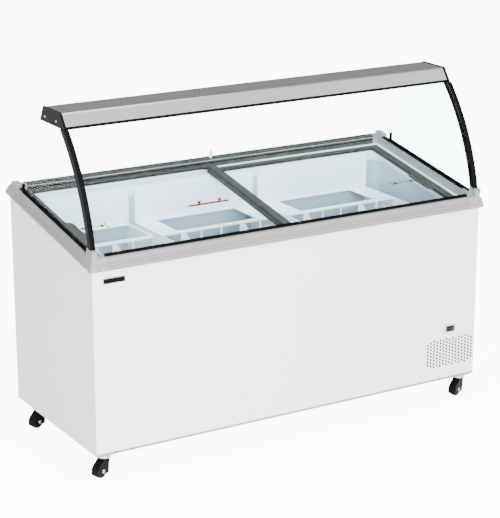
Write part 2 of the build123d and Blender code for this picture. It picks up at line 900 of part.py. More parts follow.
# ---- upright stop peg on the rear rail, where the lids meet
peg_width = 9.0
peg_height = 28.0
peg_y = deck_half - 18.0
with BuildPart() as lid_stop:
    with BuildSketch(deck.offset(rail_height)):
        with Locations((peg_width, peg_y)):
            RectangleRounded(peg_width, 7.0, 2.0)
    extrude(amount=peg_height)
lid_stop.part.label = "lid_stop"
export_step(lid_stop.part, "parts/lid_stop.step")

# ================================================================ sliding lids
upper_half_y = rail_half_clear_y - lid_end_gap
lower_half_y = upper_half_y - upper_step
lid_overlap = stile_width / 2
lids = (
    # name, left end, right end, half depth, underside, +1 where the meeting stile is at the right
    ("left_lid", -(rail_half_clear_x - lid_end_gap), lid_overlap, upper_half_y, upper_ledge, 1),
    (
        "right_lid",
        -lid_overlap,
        rail_half_clear_x - upper_step - lid_end_gap,
        lower_half_y,
        lower_ledge,
        -1,
    ),
)

for name, low_x, high_x, half_y, ledge, meeting in lids:
    under = ledge + lid_gap
    glass_low = under + (lid_t - lid_glass_t) / 2
    mid_x = (low_x + high_x) / 2
    opening_width = high_x - low_x - 2 * stile_width
    opening_depth = 2 * (half_y - lid_member)
    with BuildPart() as lid_glass:
        with BuildSketch(deck.offset(glass_low)):
            with Locations((mid_x, 0)):
                Rectangle(
                    opening_width + 2 * lid_glass_seat, opening_depth + 2 * lid_glass_seat
                )
        extrude(amount=lid_glass_t)
    lid_glass.part.label = f"{name}_glass"
    export_step(lid_glass.part, f"parts/{name}_glass.step")

    with BuildPart() as lid_frame:
        with BuildSketch(deck.offset(under)):
            with Locations((mid_x, 0)):
                RectangleRounded(high_x - low_x, 2 * half_y, 3.0)
        extrude(amount=lid_t)
        with BuildSketch(deck.offset(under)) as window:
            with Locations((mid_x, 0)):
                Rectangle(opening_width, opening_depth)
            if meeting > 0:
                fillet(window.vertices().group_by(Axis.X)[-1], lid_corner_radius)
        extrude(amount=lid_t, mode=Mode.SUBTRACT)
        add(lid_glass.part, mode=Mode.SUBTRACT)
    lid_frame.part.label = f"{name}_frame"
    export_step(lid_frame.part, f"parts/{name}_frame.step")

    # a D-shaped finger pull on the glass, against the outer stile
    pull_x = low_x + stile_width if meeting > 0 else high_x - stile_width
    pull_low = glass_low + lid_glass_t
    pull_t = under + lid_t - pull_low
    with BuildPart() as lid_pull:
        with BuildSketch(deck.offset(pull_low)):
            with Locations((pull_x + meeting * pull_depth / 2, pull_y)):
                Rectangle(pull_depth, pull_length)
        extrude(amount=pull_t)
        bow = lid_pull.edges().filter_by(lambda e: abs((e % 0.5).dot(deck.z_dir)) > 0.99)
        bow = bow.group_by(Axis.X)[-1 if meeting > 0 else 0]
        fillet(bow, pull_depth * 0.8)
        with BuildSketch(deck.offset(under + lid_t)):
            with Locations((pull_x + meeting * pull_depth * 0.4, pull_y)):
                RectangleRounded(pull_depth * 0.5, pull_length * 0.6, pull_depth * 0.24)
        extrude(amount=-pull_t * 0.6, mode=Mode.SUBTRACT)
    lid_pull.part.label = f"{name}_pull"
    export_step(lid_pull.part, f"parts/{name}_pull.step")

# ================================================================ pan racks
rack_z = base_z + rack_deck_height
rack_back_y = tank_y + tank_half_y
rack_front_wall = tank_y - tank_half_y
rack_brace = 14.0
rack_reach = tank_half_x - rack_end_gap
rack_mid_left = -rack_split_left * tank_half_x
rack_mid_right = rack_split_right * tank_half_x
racks = (
    # name, left, right, border beside the cut-out at the left and right
    ("pan_rack_left", -rack_reach, rack_mid_left - rack_gap_left / 2, 20.0, 8.0),
    (
        "pan_rack_middle",
        rack_mid_left + rack_gap_left / 2,
        rack_mid_right - rack_gap_right / 2,
        76.0,
        85.0,
    ),
    ("pan_rack_right", rack_mid_right + rack_gap_right / 2, rack_reach, 78.0, 80.0),
)
for name, low_x, high_x, low_border, high_border in racks:
    width = high_x - low_x
    mid_x = (low_x + high_x) / 2
    bays = max(3, round(width / rack_bay))
    bay_pitch = (width - rack_bar) / bays
    skirt_low = shoulder_z + rack_t
    skirt_high = rack_z - rack_t
    cut_width = width - low_border - high_border
    cut_x = low_x + low_border + cut_width / 2
    cut_front = rack_front_y + rack_cut_front
    cut_rear = rack_back_y - rack_cut_rear
    with BuildPart() as rack:
        # back panel with rounded top corners, standing against the liner
        with BuildSketch(Plane.XZ.offset(-rack_back_y)) as back:
            with Locations((mid_x, rack_z + rack_back_height / 2)):
                Rectangle(width, rack_back_height)
            fillet(back.vertices().group_by(Axis.Y)[-1], rack_radius)
        extrude(amount=rack_t)
        # deck with its pan cut-out
        with BuildSketch(Plane.XY.offset(rack_z - rack_t)):
            with Locations((mid_x, (rack_front_y + rack_back_y) / 2)):
                Rectangle(width, rack_back_y - rack_front_y)
            with Locations((cut_x, (cut_front + cut_rear) / 2)):
                RectangleRounded(cut_width, cut_rear - cut_front, 3.0, mode=Mode.SUBTRACT)
        extrude(amount=rack_t)
        # slatted skirt under the front edge of the deck
        with BuildSketch(Plane.XZ.offset(-rack_front_y - rack_t)):
            with Locations((mid_x, (shoulder_z + rack_z) / 2)):
                Rectangle(width, rack_z - shoulder_z)
            for bay in range(bays):
                bay_mid = low_x + rack_bar / 2 + (bay + 0.5) * bay_pitch
                with Locations((bay_mid, (skirt_low + skirt_high) / 2)):
                    Rectangle(bay_pitch - rack_bar, skirt_high - skirt_low, mode=Mode.SUBTRACT)
                if bay in (1, bays - 2):
                    with BuildLine():
                        Polyline(
                            (bay_mid - bay_pitch / 2, skirt_high),
                            (bay_mid - bay_pitch / 2 + rack_brace, skirt_high),
                            (bay_mid + bay_pitch / 2, skirt_low + rack_brace),
                            (bay_mid + bay_pitch / 2, skirt_low),
                            (bay_mid + bay_pitch / 2 - rack_brace, skirt_low),
                            (bay_mid - bay_pitch / 2, skirt_high - rack_brace),
                            close=True,
                        )
                    make_face()
        extrude(amount=rack_t)
        # side walls, reaching forward past the skirt
        for wall_x in (low_x, high_x - rack_t):
            with BuildSketch(Plane.YZ.offset(wall_x)):
                with BuildLine():
                    Polyline(
                        (rack_side_front_y, shoulder_z),
                        (rack_back_y, shoulder_z),
                        (rack_back_y, rack_z),
                        (rack_side_front_y, rack_z),
                        close=True,
                    )
                make_face()
            extrude(amount=rack_t)
        # lower tier for the front row of pans, resting on the tank's shoulder
        with BuildSketch(Plane.XY.offset(shoulder_z)):
            with Locations((mid_x, (rack_front_wall + rack_front_y + rack_t) / 2)):
                Rectangle(width, rack_front_y + rack_t - rack_front_wall)
            with Locations((mid_x, (rack_front_wall + rack_front_y + rack_t) / 2)):
                RectangleRounded(
                    width - 2 * rack_tier_side,
                    rack_front_y + rack_t - rack_front_wall - 2 * rack_tier_long,
                    6.0,
                    mode=Mode.SUBTRACT,
                )
        extrude(amount=rack_t)
    rack.part.label = name
    export_step(rack.part, f"parts/{name}.step")

# ================================================================ front fittings
# ---- display: a bezel on a housing behind the front panel, and its dark window
bezel_stand = 2.0
display_depth = 38.0
window_width = 35.0
window_height = 21.0
window_t = 1.5
display_plane = Plane.XZ.offset(half_d + bezel_stand)
with BuildPart() as display_bezel:
    with BuildSketch(display_plane):
        with Locations((display_x, display_z)):
            RectangleRounded(display_width, display_height, 3.0)
    extrude(amount=-bezel_stand)
    with BuildSketch(Plane.XZ.offset(half_d)):
        with Locations((display_x, display_z)):
            Rectangle(display_body_width, display_body_height)
    extrude(amount=-display_depth)
    with BuildSketch(display_plane):
        with Locations((display_x, display_z)):
            Rectangle(window_width, window_height)
    extrude(amount=-window_t, mode=Mode.SUBTRACT)
display_bezel.part.label = "display_bezel"
export_step(display_bezel.part, "parts/display_bezel.step")

with BuildPart() as display_window:
    with BuildSketch(display_plane):
        with Locations((display_x, display_z)):
            Rectangle(window_width, window_height)
    extrude(amount=-window_t)
display_window.part.label = "display_window"
export_step(display_window.part, "parts/display_window.step")

# ---- plain badge plate, with nothing written on it
badge_width = 79.0
badge_height = 20.0
badge_t = 1.6
badge_from_side = 77.0
badge_below_top = 45.0
with BuildPart() as badge_plate:
    with BuildSketch(Plane.XZ.offset(half_d)):
        with Locations((-half_w + badge_from_side, front_top - badge_below_top)):
            RectangleRounded(badge_width, badge_height, 2.0)
    extrude(amount=badge_t)
badge_plate.part.label = "badge_plate"
export_step(badge_plate.part, "parts/badge_plate.step")

# ================================================================ rear cover, switch and inlet
cover_t = 1.5
slot_count = 9
slot_length = 190.0
slot_height = 7.0
slot_pitch = 19.0
slot_low = rear_cover_low + 30.0
fitting_drop = 32.0  # from the cover's top edge to the switch and the inlet
fitting_spread = 60.0  # from the cover's middle to each of them
fitting_z = rear_cover_low + rear_cover_height - fitting_drop
switch_x = rear_cover_x - fitting_spread
inlet_x = rear_cover_x + fitting_spread
switch_body_width = 18.0
switch_body_height = 27.0
inlet_body_width = 28.0
inlet_body_height = 22.0
cover_face = Plane.XZ.offset(-half_d - cover_t)
cover_screw_in = 7.0
cover_screw_places = [
    Plane(
        origin=(
            rear_cover_x + sx * (rear_cover_width / 2 - cover_screw_in),
            half_d + cover_t,
            rear_cover_z + sz * (rear_cover_height / 2 - cover_screw_in),
        ),
        x_dir=(1, 0, 0),
        z_dir=(0, 1, 0),
    ).location
    for sx in (-1, 1)
    for sz in (-1, 1)
]

with BuildPart() as rear_cover:
    with BuildSketch(cover_face):
        with Locations((rear_cover_x, rear_cover_z)):
            RectangleRounded(rear_cover_width, rear_cover_height, 4.0)
        for slot in range(slot_count):
            with Locations((rear_cover_x, slot_low + slot * slot_pitch)):
                SlotOverall(slot_length, slot_height, mode=Mode.SUBTRACT)
        with Locations((switch_x, fitting_z)):
            Rectangle(switch_body_width, switch_body_height, mode=Mode.SUBTRACT)
        with Locations((inlet_x, fitting_z)):
            Rectangle(inlet_body_width, inlet_body_height, mode=Mode.SUBTRACT)
    extrude(amount=cover_t)
    with Locations(*cover_screw_places):
        Cylinder(screw_shank_radius, 2 * cover_t, mode=Mode.SUBTRACT)
rear_cover.part.label = "rear_cover"
export_step(rear_cover.part, "parts/rear_cover.step")

# ---- light switch: a rocker on two trunnions in its frame
switch_flange = 2.0
switch_depth = 22.0
rocker_radius = 10.0
rocker_width = 13.0
rocker_gap = 0.4
rocker_tilt = 9.0
trunnion_radius = 1.5
trunnion_length = 1.2
rocker_back = 2 * rocker_radius
rocker_nose = 8.5  # from the pivot to the rocker's two raised ends
rocker_waist = 5.5  # and to the dip between them
rocker_half = 10.0
rocker_sink = 3.0
switch_lip = 4.0
outer_y = half_d + cover_t
rocker_y = outer_y - rocker_sink
switch_face = Plane.XZ.offset(-outer_y - switch_flange)
with BuildPart() as switch_frame:
    with BuildSketch(switch_face):
        with Locations((switch_x, fitting_z)):
            RectangleRounded(switch_body_width + switch_lip, switch_body_height + switch_lip, 2.0)
    extrude(amount=switch_flange)
    with BuildSketch(Plane.XZ.offset(-outer_y)):
        with Locations((switch_x, fitting_z)):
            Rectangle(switch_body_width, switch_body_height)
    extrude(amount=switch_depth)
    with BuildSketch(Plane.YZ.offset(switch_x)):
        with Locations((rocker_y, fitting_z)):
            Circle(rocker_radius + rocker_gap)
    extrude(amount=rocker_width / 2 + rocker_gap, both=True, mode=Mode.SUBTRACT)
    with BuildSketch(Plane.YZ.offset(switch_x)):
        with Locations((rocker_y, fitting_z)):
            Circle(trunnion_radius + running_gap)
    extrude(amount=rocker_width / 2 + trunnion_length + rocker_gap, both=True, mode=Mode.SUBTRACT)
switch_frame.part.label = "switch_frame"
export_step(switch_frame.part, "parts/switch_frame.step")

with BuildPart() as switch_rocker:
    with BuildSketch(Plane.YZ.offset(switch_x)):
        with Locations((rocker_y, fitting_z)):
            Circle(rocker_radius)
        with Locations(Location((rocker_y, fitting_z, 0), (0, 0, rocker_tilt))):
            Polygon(
                (-rocker_back, -rocker_back),
                (rocker_nose, -rocker_back),
                (rocker_nose, -rocker_half),
                (rocker_waist, 0.0),
                (rocker_nose, rocker_half),
                (rocker_nose, rocker_back),
                (-rocker_back, rocker_back),
                align=None,
                mode=Mode.INTERSECT,
            )
    extrude(amount=rocker_width / 2, both=True)
    with BuildSketch(Plane.YZ.offset(switch_x)):
        with Locations((rocker_y, fitting_z)):
            Circle(trunnion_radius)
    extrude(amount=rocker_width / 2 + trunnion_length, both=True)
switch_rocker.part.label = "switch_rocker"
export_step(switch_rocker.part, "parts/switch_rocker.step")

# ---- power inlet: a three-pin socket body with a recess
inlet_flange = 2.5
inlet_depth = 24.0
inlet_recess = 16.0
pin_size = (2.0, 4.0)
pin_length = inlet_recess - 4.0
pin_spread = 7.0
inlet_lip_x = 10.0
inlet_lip_z = 6.0
inlet_wall_x = 4.0
inlet_wall_z = 5.0
pin_places = [
    (inlet_x - pin_spread, fitting_z - 2.0),
    (inlet_x, fitting_z + 3.0),
    (inlet_x + pin_spread, fitting_z - 2.0),
]
with BuildPart() as power_inlet:
    with BuildSketch(Plane.XZ.offset(-outer_y - inlet_flange)):
        with Locations((inlet_x, fitting_z)):
            RectangleRounded(inlet_body_width + inlet_lip_x, inlet_body_height + inlet_lip_z, 3.0)
    extrude(amount=inlet_flange)
    with BuildSketch(Plane.XZ.offset(-outer_y)):
        with Locations((inlet_x, fitting_z)):
            Rectangle(inlet_body_width, inlet_body_height)
    extrude(amount=inlet_depth)
    with BuildSketch(Plane.XZ.offset(-outer_y - inlet_flange)):
        with Locations((inlet_x, fitting_z)):
            RectangleRounded(inlet_body_width - inlet_wall_x, inlet_body_height - inlet_wall_z, 3.0)
    extrude(amount=inlet_recess, mode=Mode.SUBTRACT)
    with BuildSketch(Plane.XZ.offset(-outer_y - inlet_flange + inlet_recess)):
        with Locations(*pin_places):
            Rectangle(*pin_size)
    extrude(amount=-pin_length)
power_inlet.part.label = "power_inlet"
export_step(power_inlet.part, "parts/power_inlet.step")

# ================================================================ refrigeration
bay_floor = base_z + tray_t
bay_ceiling = base_z + bay_height
pipe_radius = 3.0

# ---- compressor: a domed pot on a foot plate with four rubber-bushed legs
pot_radius = 72.0
pot_height = 150.0
pot_x = bay_mid_x + 3.0
pot_y = 140.0
foot_height = 18.0
foot_t = 3.0
foot_plate = (200.0, 130.0)
foot_spread = (170.0, 100.0)
bushing_radius = 11.0
pot_low = bay_floor + foot_height + foot_t
with BuildPart() as compressor:
    with BuildSketch(Plane.XY.offset(pot_low)):
        with Locations((pot_x, pot_y)):
            Circle(pot_radius)
    extrude(amount=pot_height)
    fillet(compressor.edges().filter_by(GeomType.CIRCLE), pot_radius * 0.35)
    with BuildSketch(Plane.XY.offset(bay_floor + foot_height)):
        with Locations((pot_x, pot_y)):
            RectangleRounded(*foot_plate, 10.0)
    extrude(amount=foot_t)
    with BuildSketch(Plane.XY.offset(bay_floor)):
        with Locations((pot_x, pot_y)):
            with GridLocations(*foot_spread, 2, 2):
                Circle(bushing_radius)
    extrude(amount=foot_height)
compressor.part.label = "compressor"
export_step(compressor.part, "parts/compressor.step")

# ---- condenser: fins on four passes of tube, between two end plates
condenser_width = 180.0
condenser_depth = 44.0
condenser_height = 165.0
condenser_x = bay_mid_x - 8.0
condenser_front = -inner_y + 14.0
condenser_y = condenser_front + condenser_depth / 2
condenser_z = bay_floor + condenser_height / 2
fin_count = 18
fin_t = 1.0
end_plate_t = 2.0
fin_field = condenser_width - 16.0
tube_radius = 4.0
tube_pitch = (36.0, 22.0)
with BuildPart() as condenser:
    with Locations((condenser_x, condenser_y, condenser_z)):
        with GridLocations(condenser_width - end_plate_t, 1, 2, 1):
            Box(end_plate_t, condenser_depth, condenser_height)
        with GridLocations(fin_field / (fin_count - 1), 1, fin_count, 1):
            Box(fin_t, condenser_depth - 6.0, condenser_height - 12.0)
    with Locations(Location((condenser_x, condenser_y, condenser_z), (0, 90, 0))):
        with GridLocations(*tube_pitch, 4, 2):
            Cylinder(tube_radius, condenser_width)
condenser.part.label = "condenser"
export_step(condenser.part, "parts/condenser.step")

# ---- fan: shroud plate with a ring, motor on a foot, and blades on the motor's shaft
shroud_y = condenser_front + condenser_depth + 2.0
shroud_t = 2.0
ring_radius = 70.0
ring_wall = 2.0
ring_depth = 26.0
fan_z = condenser_z
fan_gap = 3.0
hub_radius = 15.0
hub_length = 16.0
fan_mid_y = shroud_y + ring_depth / 2 + 2.0
shaft_radius = 3.0
motor_radius = 28.0
motor_length = 40.0
motor_y = fan_mid_y + hub_length / 2 + 4.0
blade_count = 5

with BuildPart() as fan_shroud:
    with BuildSketch(Plane.XZ.offset(-shroud_y)):
        with Locations((condenser_x, condenser_z)):
            Rectangle(condenser_width, condenser_height)
        with Locations((condenser_x, fan_z)):
            Circle(ring_radius, mode=Mode.SUBTRACT)
    extrude(amount=-shroud_t)
    with BuildSketch(Plane.XZ.offset(-shroud_y)):
        with Locations((condenser_x, fan_z)):
            Circle(ring_radius + ring_wall)
            Circle(ring_radius, mode=Mode.SUBTRACT)
    extrude(amount=-ring_depth)
fan_shroud.part.label = "fan_shroud"
export_step(fan_shroud.part, "parts/fan_shroud.step")

with BuildPart() as fan_motor:
    with BuildSketch(Plane.XZ.offset(-motor_y)):
        with Locations((condenser_x, fan_z)):
            Circle(motor_radius)
    extrude(amount=-motor_length)
    with BuildSketch(Plane.XZ.offset(-motor_y)):
        with Locations((condenser_x, fan_z)):
            Circle(shaft_radius)
    extrude(amount=motor_y - fan_mid_y + hub_length / 2 - 2.0)
    foot_mid_z = (bay_floor + fan_z - motor_radius * 0.7) / 2
    foot_rise = fan_z - motor_radius * 0.7 - bay_floor
    with Locations((condenser_x, motor_y + motor_length / 2, foot_mid_z)):
        Box(30.0, 20.0, foot_rise)
fan_motor.part.label = "fan_motor"
export_step(fan_motor.part, "parts/fan_motor.step")

blade_reach = ring_radius - fan_gap
blade_pitch_angle = 28.0
with BuildPart() as fan_blades:
    with Locations(Location((condenser_x, fan_mid_y, fan_z), (90, 0, 0))):
        with PolarLocations((hub_radius + blade_reach) / 2 - 2.0, blade_count):
            Box(blade_reach - hub_radius, 30.0, 1.6, rotation=(blade_pitch_angle, 0, 0))
        Cylinder(hub_radius, hub_length)
        Cylinder(shaft_radius + running_gap, 2 * hub_length, mode=Mode.SUBTRACT)
        Cylinder(blade_reach, hub_length, mode=Mode.INTERSECT)
fan_blades.part.label = "fan_blades"
export_step(fan_blades.part, "parts/fan_blades.step")

# ---- pipework: hot gas to the condenser, liquid line with its drier, and suction line
pipe_bend = 12.0
lane_left = bay_x + 14.0
lane_right = inner_x - 14.0
gas_z = bay_floor + 120.0
liquid_z = bay_floor + 32.0
condenser_left = condenser_x - condenser_width / 2
condenser_right = condenser_x + condenser_width / 2
drier_radius = 9.0
drier_length = 80.0
drier_y = -60.0
pipe_runs = (
    (
        (pot_x + pot_radius - 0.5, pot_y, gas_z),
        (lane_right, pot_y, gas_z),
        (lane_right, condenser_y, gas_z),
        (condenser_right, condenser_y, gas_z),
    ),
    (
        (condenser_left, condenser_y, liquid_z),
        (lane_left, condenser_y, liquid_z),
        (lane_left, drier_y, liquid_z),
        (lane_left, drier_y, bay_ceiling),
    ),
    (
        (pot_x - pot_radius + 0.5, pot_y, gas_z),
        (lane_left, pot_y, gas_z),
        (lane_left, pot_y, bay_ceiling),
    ),
)
with BuildPart() as refrigerant_pipes:
    for run in pipe_runs:
        with BuildLine() as pipe_path:
            FilletPolyline(*run, radius=pipe_bend)
        with BuildSketch(Plane(origin=pipe_path.line @ 0, z_dir=pipe_path.line % 0)):
            Circle(pipe_radius)
        sweep(path=pipe_path.wire())
    with BuildSketch(Plane.XY.offset(gas_z)):
        with Locations((lane_left, drier_y)):
            Circle(drier_radius)
    extrude(amount=drier_length)
    add(compressor.part, mode=Mode.SUBTRACT)
refrigerant_pipes.part.label = "refrigerant_pipes"
export_step(refrigerant_pipes.part, "parts/refrigerant_pipes.step")

# ================================================================ castors
plate_length = 58.0
plate_width = 62.0
plate_t = 3.0
race_radius = 21.0
race_height = 12.0
plate_screw_in = 7.0
race_low = base_z - plate_t - race_height
fork_top = race_low - 0.3
hood_radius = wheel_radius + hood_t
hood_gap = 1.5
hood_low = wheel_radius - 12.0
neck_radius = 12.0
hood_width = wheel_width + 2 * (hood_gap + hood_t)
castors = (
    ("front_left", -castor_x, castor_front_y),
    ("front_right", castor_x, castor_front_y),
    ("rear_left", -castor_x, castor_rear_y),
    ("rear_right", castor_x, castor_rear_y),
)
swing = radians(castor_swing)
trail_dir = Vector(cos(swing), sin(swing), 0)
axle_dir = Vector(sin(swing), -cos(swing), 0)
plate_screw_places = [
    Plane(
        origin=(
            x + sx * (plate_width / 2 - plate_screw_in),
            y + sy * (plate_length / 2 - plate_screw_in),
            base_z - plate_t,
        ),
        x_dir=(1, 0, 0),
        z_dir=(0, 0, -1),
    ).location
    for _, x, y in castors
    for sx in (-1, 1)
    for sy in (-1, 1)
]

with BuildPart() as castor_plates:
    for _, x, y in castors:
        with BuildSketch(Plane.XY.offset(base_z - plate_t)):
            with Locations((x, y)):
                RectangleRounded(plate_width, plate_length, 6.0)
        extrude(amount=plate_t)
        with BuildSketch(Plane.XY.offset(race_low)):
            with Locations((x, y)):
                Circle(race_radius)
                Circle(kingpin_radius + running_gap, mode=Mode.SUBTRACT)
        extrude(amount=race_height)
    with Locations(*plate_screw_places):
        Cylinder(screw_shank_radius, 4 * plate_t, mode=Mode.SUBTRACT)
castor_plates.part.label = "castor_plates"
export_step(castor_plates.part, "parts/castor_plates.step")

for place, x, y in castors:
    side_plane = Plane(origin=(x, y, 0), x_dir=trail_dir, z_dir=axle_dir)
    wheel_centre = Vector(x, y, wheel_radius) + trail_dir * castor_trail
    wheel_plane = Plane(origin=wheel_centre, x_dir=trail_dir, z_dir=axle_dir)
    with BuildPart() as fork:
        with BuildSketch(side_plane):
            with Locations((castor_trail, wheel_radius)):
                Circle(hood_radius)
            with BuildLine():
                Polyline(
                    (-neck_radius, fork_top),
                    (neck_radius, fork_top),
                    (castor_trail + hood_radius * 0.7, wheel_radius + hood_radius * 0.7),
                    (castor_trail, wheel_radius),
                    (castor_trail - hood_radius, wheel_radius),
                    close=True,
                )
            make_face()
            with Locations((castor_trail, hood_low / 2 - 20.0)):
                Rectangle(4 * hood_radius, hood_low + 40.0, mode=Mode.SUBTRACT)
        extrude(amount=hood_width / 2, both=True)
        with BuildSketch(side_plane):
            with Locations((castor_trail, wheel_radius)):
                Circle(wheel_radius + hood_gap)
        extrude(amount=wheel_width / 2 + hood_gap, both=True, mode=Mode.SUBTRACT)
        with BuildSketch(side_plane):
            with Locations((castor_trail, wheel_radius)):
                Circle(axle_radius)
        extrude(amount=hood_width / 2, both=True)
        with BuildSketch(Plane.XY.offset(fork_top)):
            with Locations((x, y)):
                Circle(kingpin_radius)
        extrude(amount=race_height - 1.0)
    fork.part.label = f"castor_fork_{place}"
    export_step(fork.part, f"parts/castor_fork_{place}.step")

    with BuildPart() as wheel:
        with BuildSketch(wheel_plane):
            Circle(wheel_radius)
        extrude(amount=wheel_width / 2, both=True)
        fillet(wheel.edges().filter_by(GeomType.CIRCLE), 4.0)
        with BuildSketch(wheel_plane):
            Circle(axle_radius + running_gap)
        extrude(amount=wheel_width, both=True, mode=Mode.SUBTRACT)
    wheel.part.label = f"castor_wheel_{place}"
    export_step(wheel.part, f"parts/castor_wheel_{place}.step")

# ================================================================ screws
bright_screws = screw_solids(frame_screw_places + cap_screw_places, screw_depth)
bright_screws.label = "bright_screws"
export_step(bright_screws, "parts/bright_screws.step")

black_screws = Compound(
    children=[
        screw_solids(lip_screws, panel_t),
        screw_solids(cover_screw_places, cover_t),
        screw_solids(plate_screw_places, plate_t),
    ]
)
black_screws.label = "black_screws"
export_step(black_screws, "parts/black_screws.step")
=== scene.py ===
# %% [markdown]
# # A slant-top glass display freezer
#
# The real thing is a white sheet-steel chest on four swivel castors. Its sloping top carries two
# sliding glass lids, and over them stands a curved glass guard under a metal canopy. The CAD model
# already holds every shape that has a size. This lesson gives each of those nodes a finish, and
# models the small things that make such a cabinet believable: dark beads of painted shadow in the
# steps of the rails, brush strips and gaskets, printed arrows and a load line, the racks' rolled
# rims with a painted highlight, the badge's border, the display's figures and the bolts through the
# castors.

# %% Load the frame
import json
import math

import bpy
from mathutils import Matrix, Vector


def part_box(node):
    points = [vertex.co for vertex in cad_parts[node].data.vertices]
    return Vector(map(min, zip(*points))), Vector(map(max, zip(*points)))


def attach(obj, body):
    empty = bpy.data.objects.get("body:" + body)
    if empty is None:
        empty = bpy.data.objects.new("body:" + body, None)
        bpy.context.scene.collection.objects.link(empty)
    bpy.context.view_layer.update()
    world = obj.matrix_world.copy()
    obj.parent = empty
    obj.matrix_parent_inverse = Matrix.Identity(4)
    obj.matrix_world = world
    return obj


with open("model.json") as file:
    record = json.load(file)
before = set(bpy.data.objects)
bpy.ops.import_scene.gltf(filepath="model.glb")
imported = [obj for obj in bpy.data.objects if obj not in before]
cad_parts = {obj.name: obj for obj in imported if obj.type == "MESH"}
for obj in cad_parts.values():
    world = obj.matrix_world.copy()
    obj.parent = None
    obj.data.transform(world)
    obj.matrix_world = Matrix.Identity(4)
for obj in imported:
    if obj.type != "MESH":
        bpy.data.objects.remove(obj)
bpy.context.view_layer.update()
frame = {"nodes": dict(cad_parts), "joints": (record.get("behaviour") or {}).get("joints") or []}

# %% [markdown]
# ## Camera
#
# A catalogue picture of a cabinet is taken from a little above the rail, a few metres away, with a
# longish lens, so that the long edges converge only slightly. The camera stands to the left of the
# cabinet's front and looks down by seventeen degrees. Its place is given in metres from the floor
# under the middle of the cabinet.

# %% Camera
camera_place = Vector((-3.096, -5.193, 2.400))
camera_turn = math.radians(30.82)
camera_dip = math.radians(16.98)
camera_lens = 125.0

camera_data = bpy.data.cameras.new("camera")
camera_data.lens = camera_lens
camera_data.sensor_width = 36.0
camera = bpy.data.objects.new("camera", camera_data)
camera.location = camera_place
camera.rotation_euler = (math.pi / 2 - camera_dip, 0, -camera_turn)
bpy.context.scene.collection.objects.link(camera)
bpy.context.scene.camera = camera

# %% [markdown]
# ## Modelling helpers
#
# Every new piece is made the way it would be made by hand: a primitive is added at its size and
# place, then shaped with operators. Operators act on whatever is selected, and the CAD nodes come
# in selected, so the first thing that each helper does is to clear the selection. A finished piece
# keeps its place in its mesh, with its object at the origin, as the CAD nodes do.

# %% Helpers for selecting, placing and finishing a piece
sharp_angle = 30  # an edge sharper than this gets a bevel
smooth_angle = 35  # and one softer than this is shaded smooth


def select_only(obj):
    """Leaves one object selected and active, in object mode."""
    if bpy.context.object and bpy.context.object.mode != "OBJECT":
        bpy.ops.object.mode_set(mode="OBJECT")
    bpy.ops.object.select_all(action="DESELECT")
    obj.select_set(True)
    bpy.context.view_layer.objects.active = obj


def add_block(name, low, high):
    """A block between two corners, ready to be shaped."""
    bpy.ops.object.select_all(action="DESELECT")
    middle = [(a + b) / 2 for a, b in zip(low, high)]
    bpy.ops.mesh.primitive_cube_add(size=1.0, location=middle)
    block = bpy.context.object
    block.name = name
    block.scale = [b - a for a, b in zip(low, high)]
    settle(block)
    return block


def add_disc(name, centre, axis, radius, depth, sides=48):
    """A round slug about an axis, ready to be shaped."""
    bpy.ops.object.select_all(action="DESELECT")
    bpy.ops.mesh.primitive_cylinder_add(vertices=sides, radius=radius, depth=depth)
    disc = bpy.context.object
    disc.name = name
    disc.rotation_mode = "QUATERNION"
    disc.rotation_quaternion = Vector(axis).to_track_quat("Z", "Y")
    disc.location = centre
    settle(disc)
    return disc


def settle(obj):
    """Puts the object's place, turn and size into its mesh."""
    select_only(obj)
    bpy.ops.object.transform_apply(location=True, rotation=True, scale=True)


def round_edges(obj, width, segments=2):
    """A small bevel on every sharp edge, because no real edge is a perfect corner."""
    select_only(obj)
    bevel = obj.modifiers.new("bevel", "BEVEL")
    bevel.width = width
    bevel.segments = segments
    bevel.limit_method = "ANGLE"
    bevel.angle_limit = math.radians(sharp_angle)
    bpy.ops.object.modifier_apply(modifier=bevel.name)
    bpy.ops.object.shade_smooth_by_angle(angle=math.radians(smooth_angle))


def join_pieces(name, pieces):
    """Several shaped pieces become one object."""
    bpy.ops.object.select_all(action="DESELECT")
    for piece in pieces:
        piece.select_set(True)
    bpy.context.view_layer.objects.active = pieces[0]
    bpy.ops.object.join()
    joined = bpy.context.object
    joined.name = name
    return joined


def hand_over(obj, body, material):
    """Gives a finished piece its material and its body, and prints its size."""
    obj.data.materials.clear()
    obj.data.materials.append(material)
    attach(obj, body)
    low, high = [Vector(c) for c in (obj.bound_box[0], obj.bound_box[6])]
    print(obj.name, "faces", len(obj.data.polygons), "size mm", [round(1000 * v) for v in high - low])


def node_box(node):
    """The low and high corner of a CAD node."""
    low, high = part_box(node)
    return Vector(low), Vector(high)

# %% [markdown]
# ## The sloping deck
#
# The rails and lids lie on a deck that falls towards the customer. Pieces on it are easiest to
# make flat and then tilt, so the tilt is measured from the CAD's left lid glass and kept as one
# matrix. In deck coordinates x runs along the cabinet, y up the slope and z away from the deck.

# %% Measure the slope of the deck
glass_normal = max(
    (p.normal.copy() for p in frame["nodes"]["left_lid_glass"].data.polygons),
    key=lambda n: n.z,
)
deck_slope = math.atan2(-glass_normal.y, glass_normal.z)
deck_up = Vector((0, -math.sin(deck_slope), math.cos(deck_slope)))
deck_rise = Vector((0, math.cos(deck_slope), math.sin(deck_slope)))
print("deck slope", round(math.degrees(deck_slope), 2), "degrees")


def level_of(node):
    """How far a node reaches along the deck's normal, from the origin."""
    return max(deck_up.dot(v.co) for v in frame["nodes"][node].data.vertices)


def span_of(node):
    """The nearest and farthest reach of a node up the slope."""
    reach = [deck_rise.dot(v.co) for v in frame["nodes"][node].data.vertices]
    return min(reach), max(reach)


deck_matrix = Matrix.Rotation(deck_slope, 4, "X")


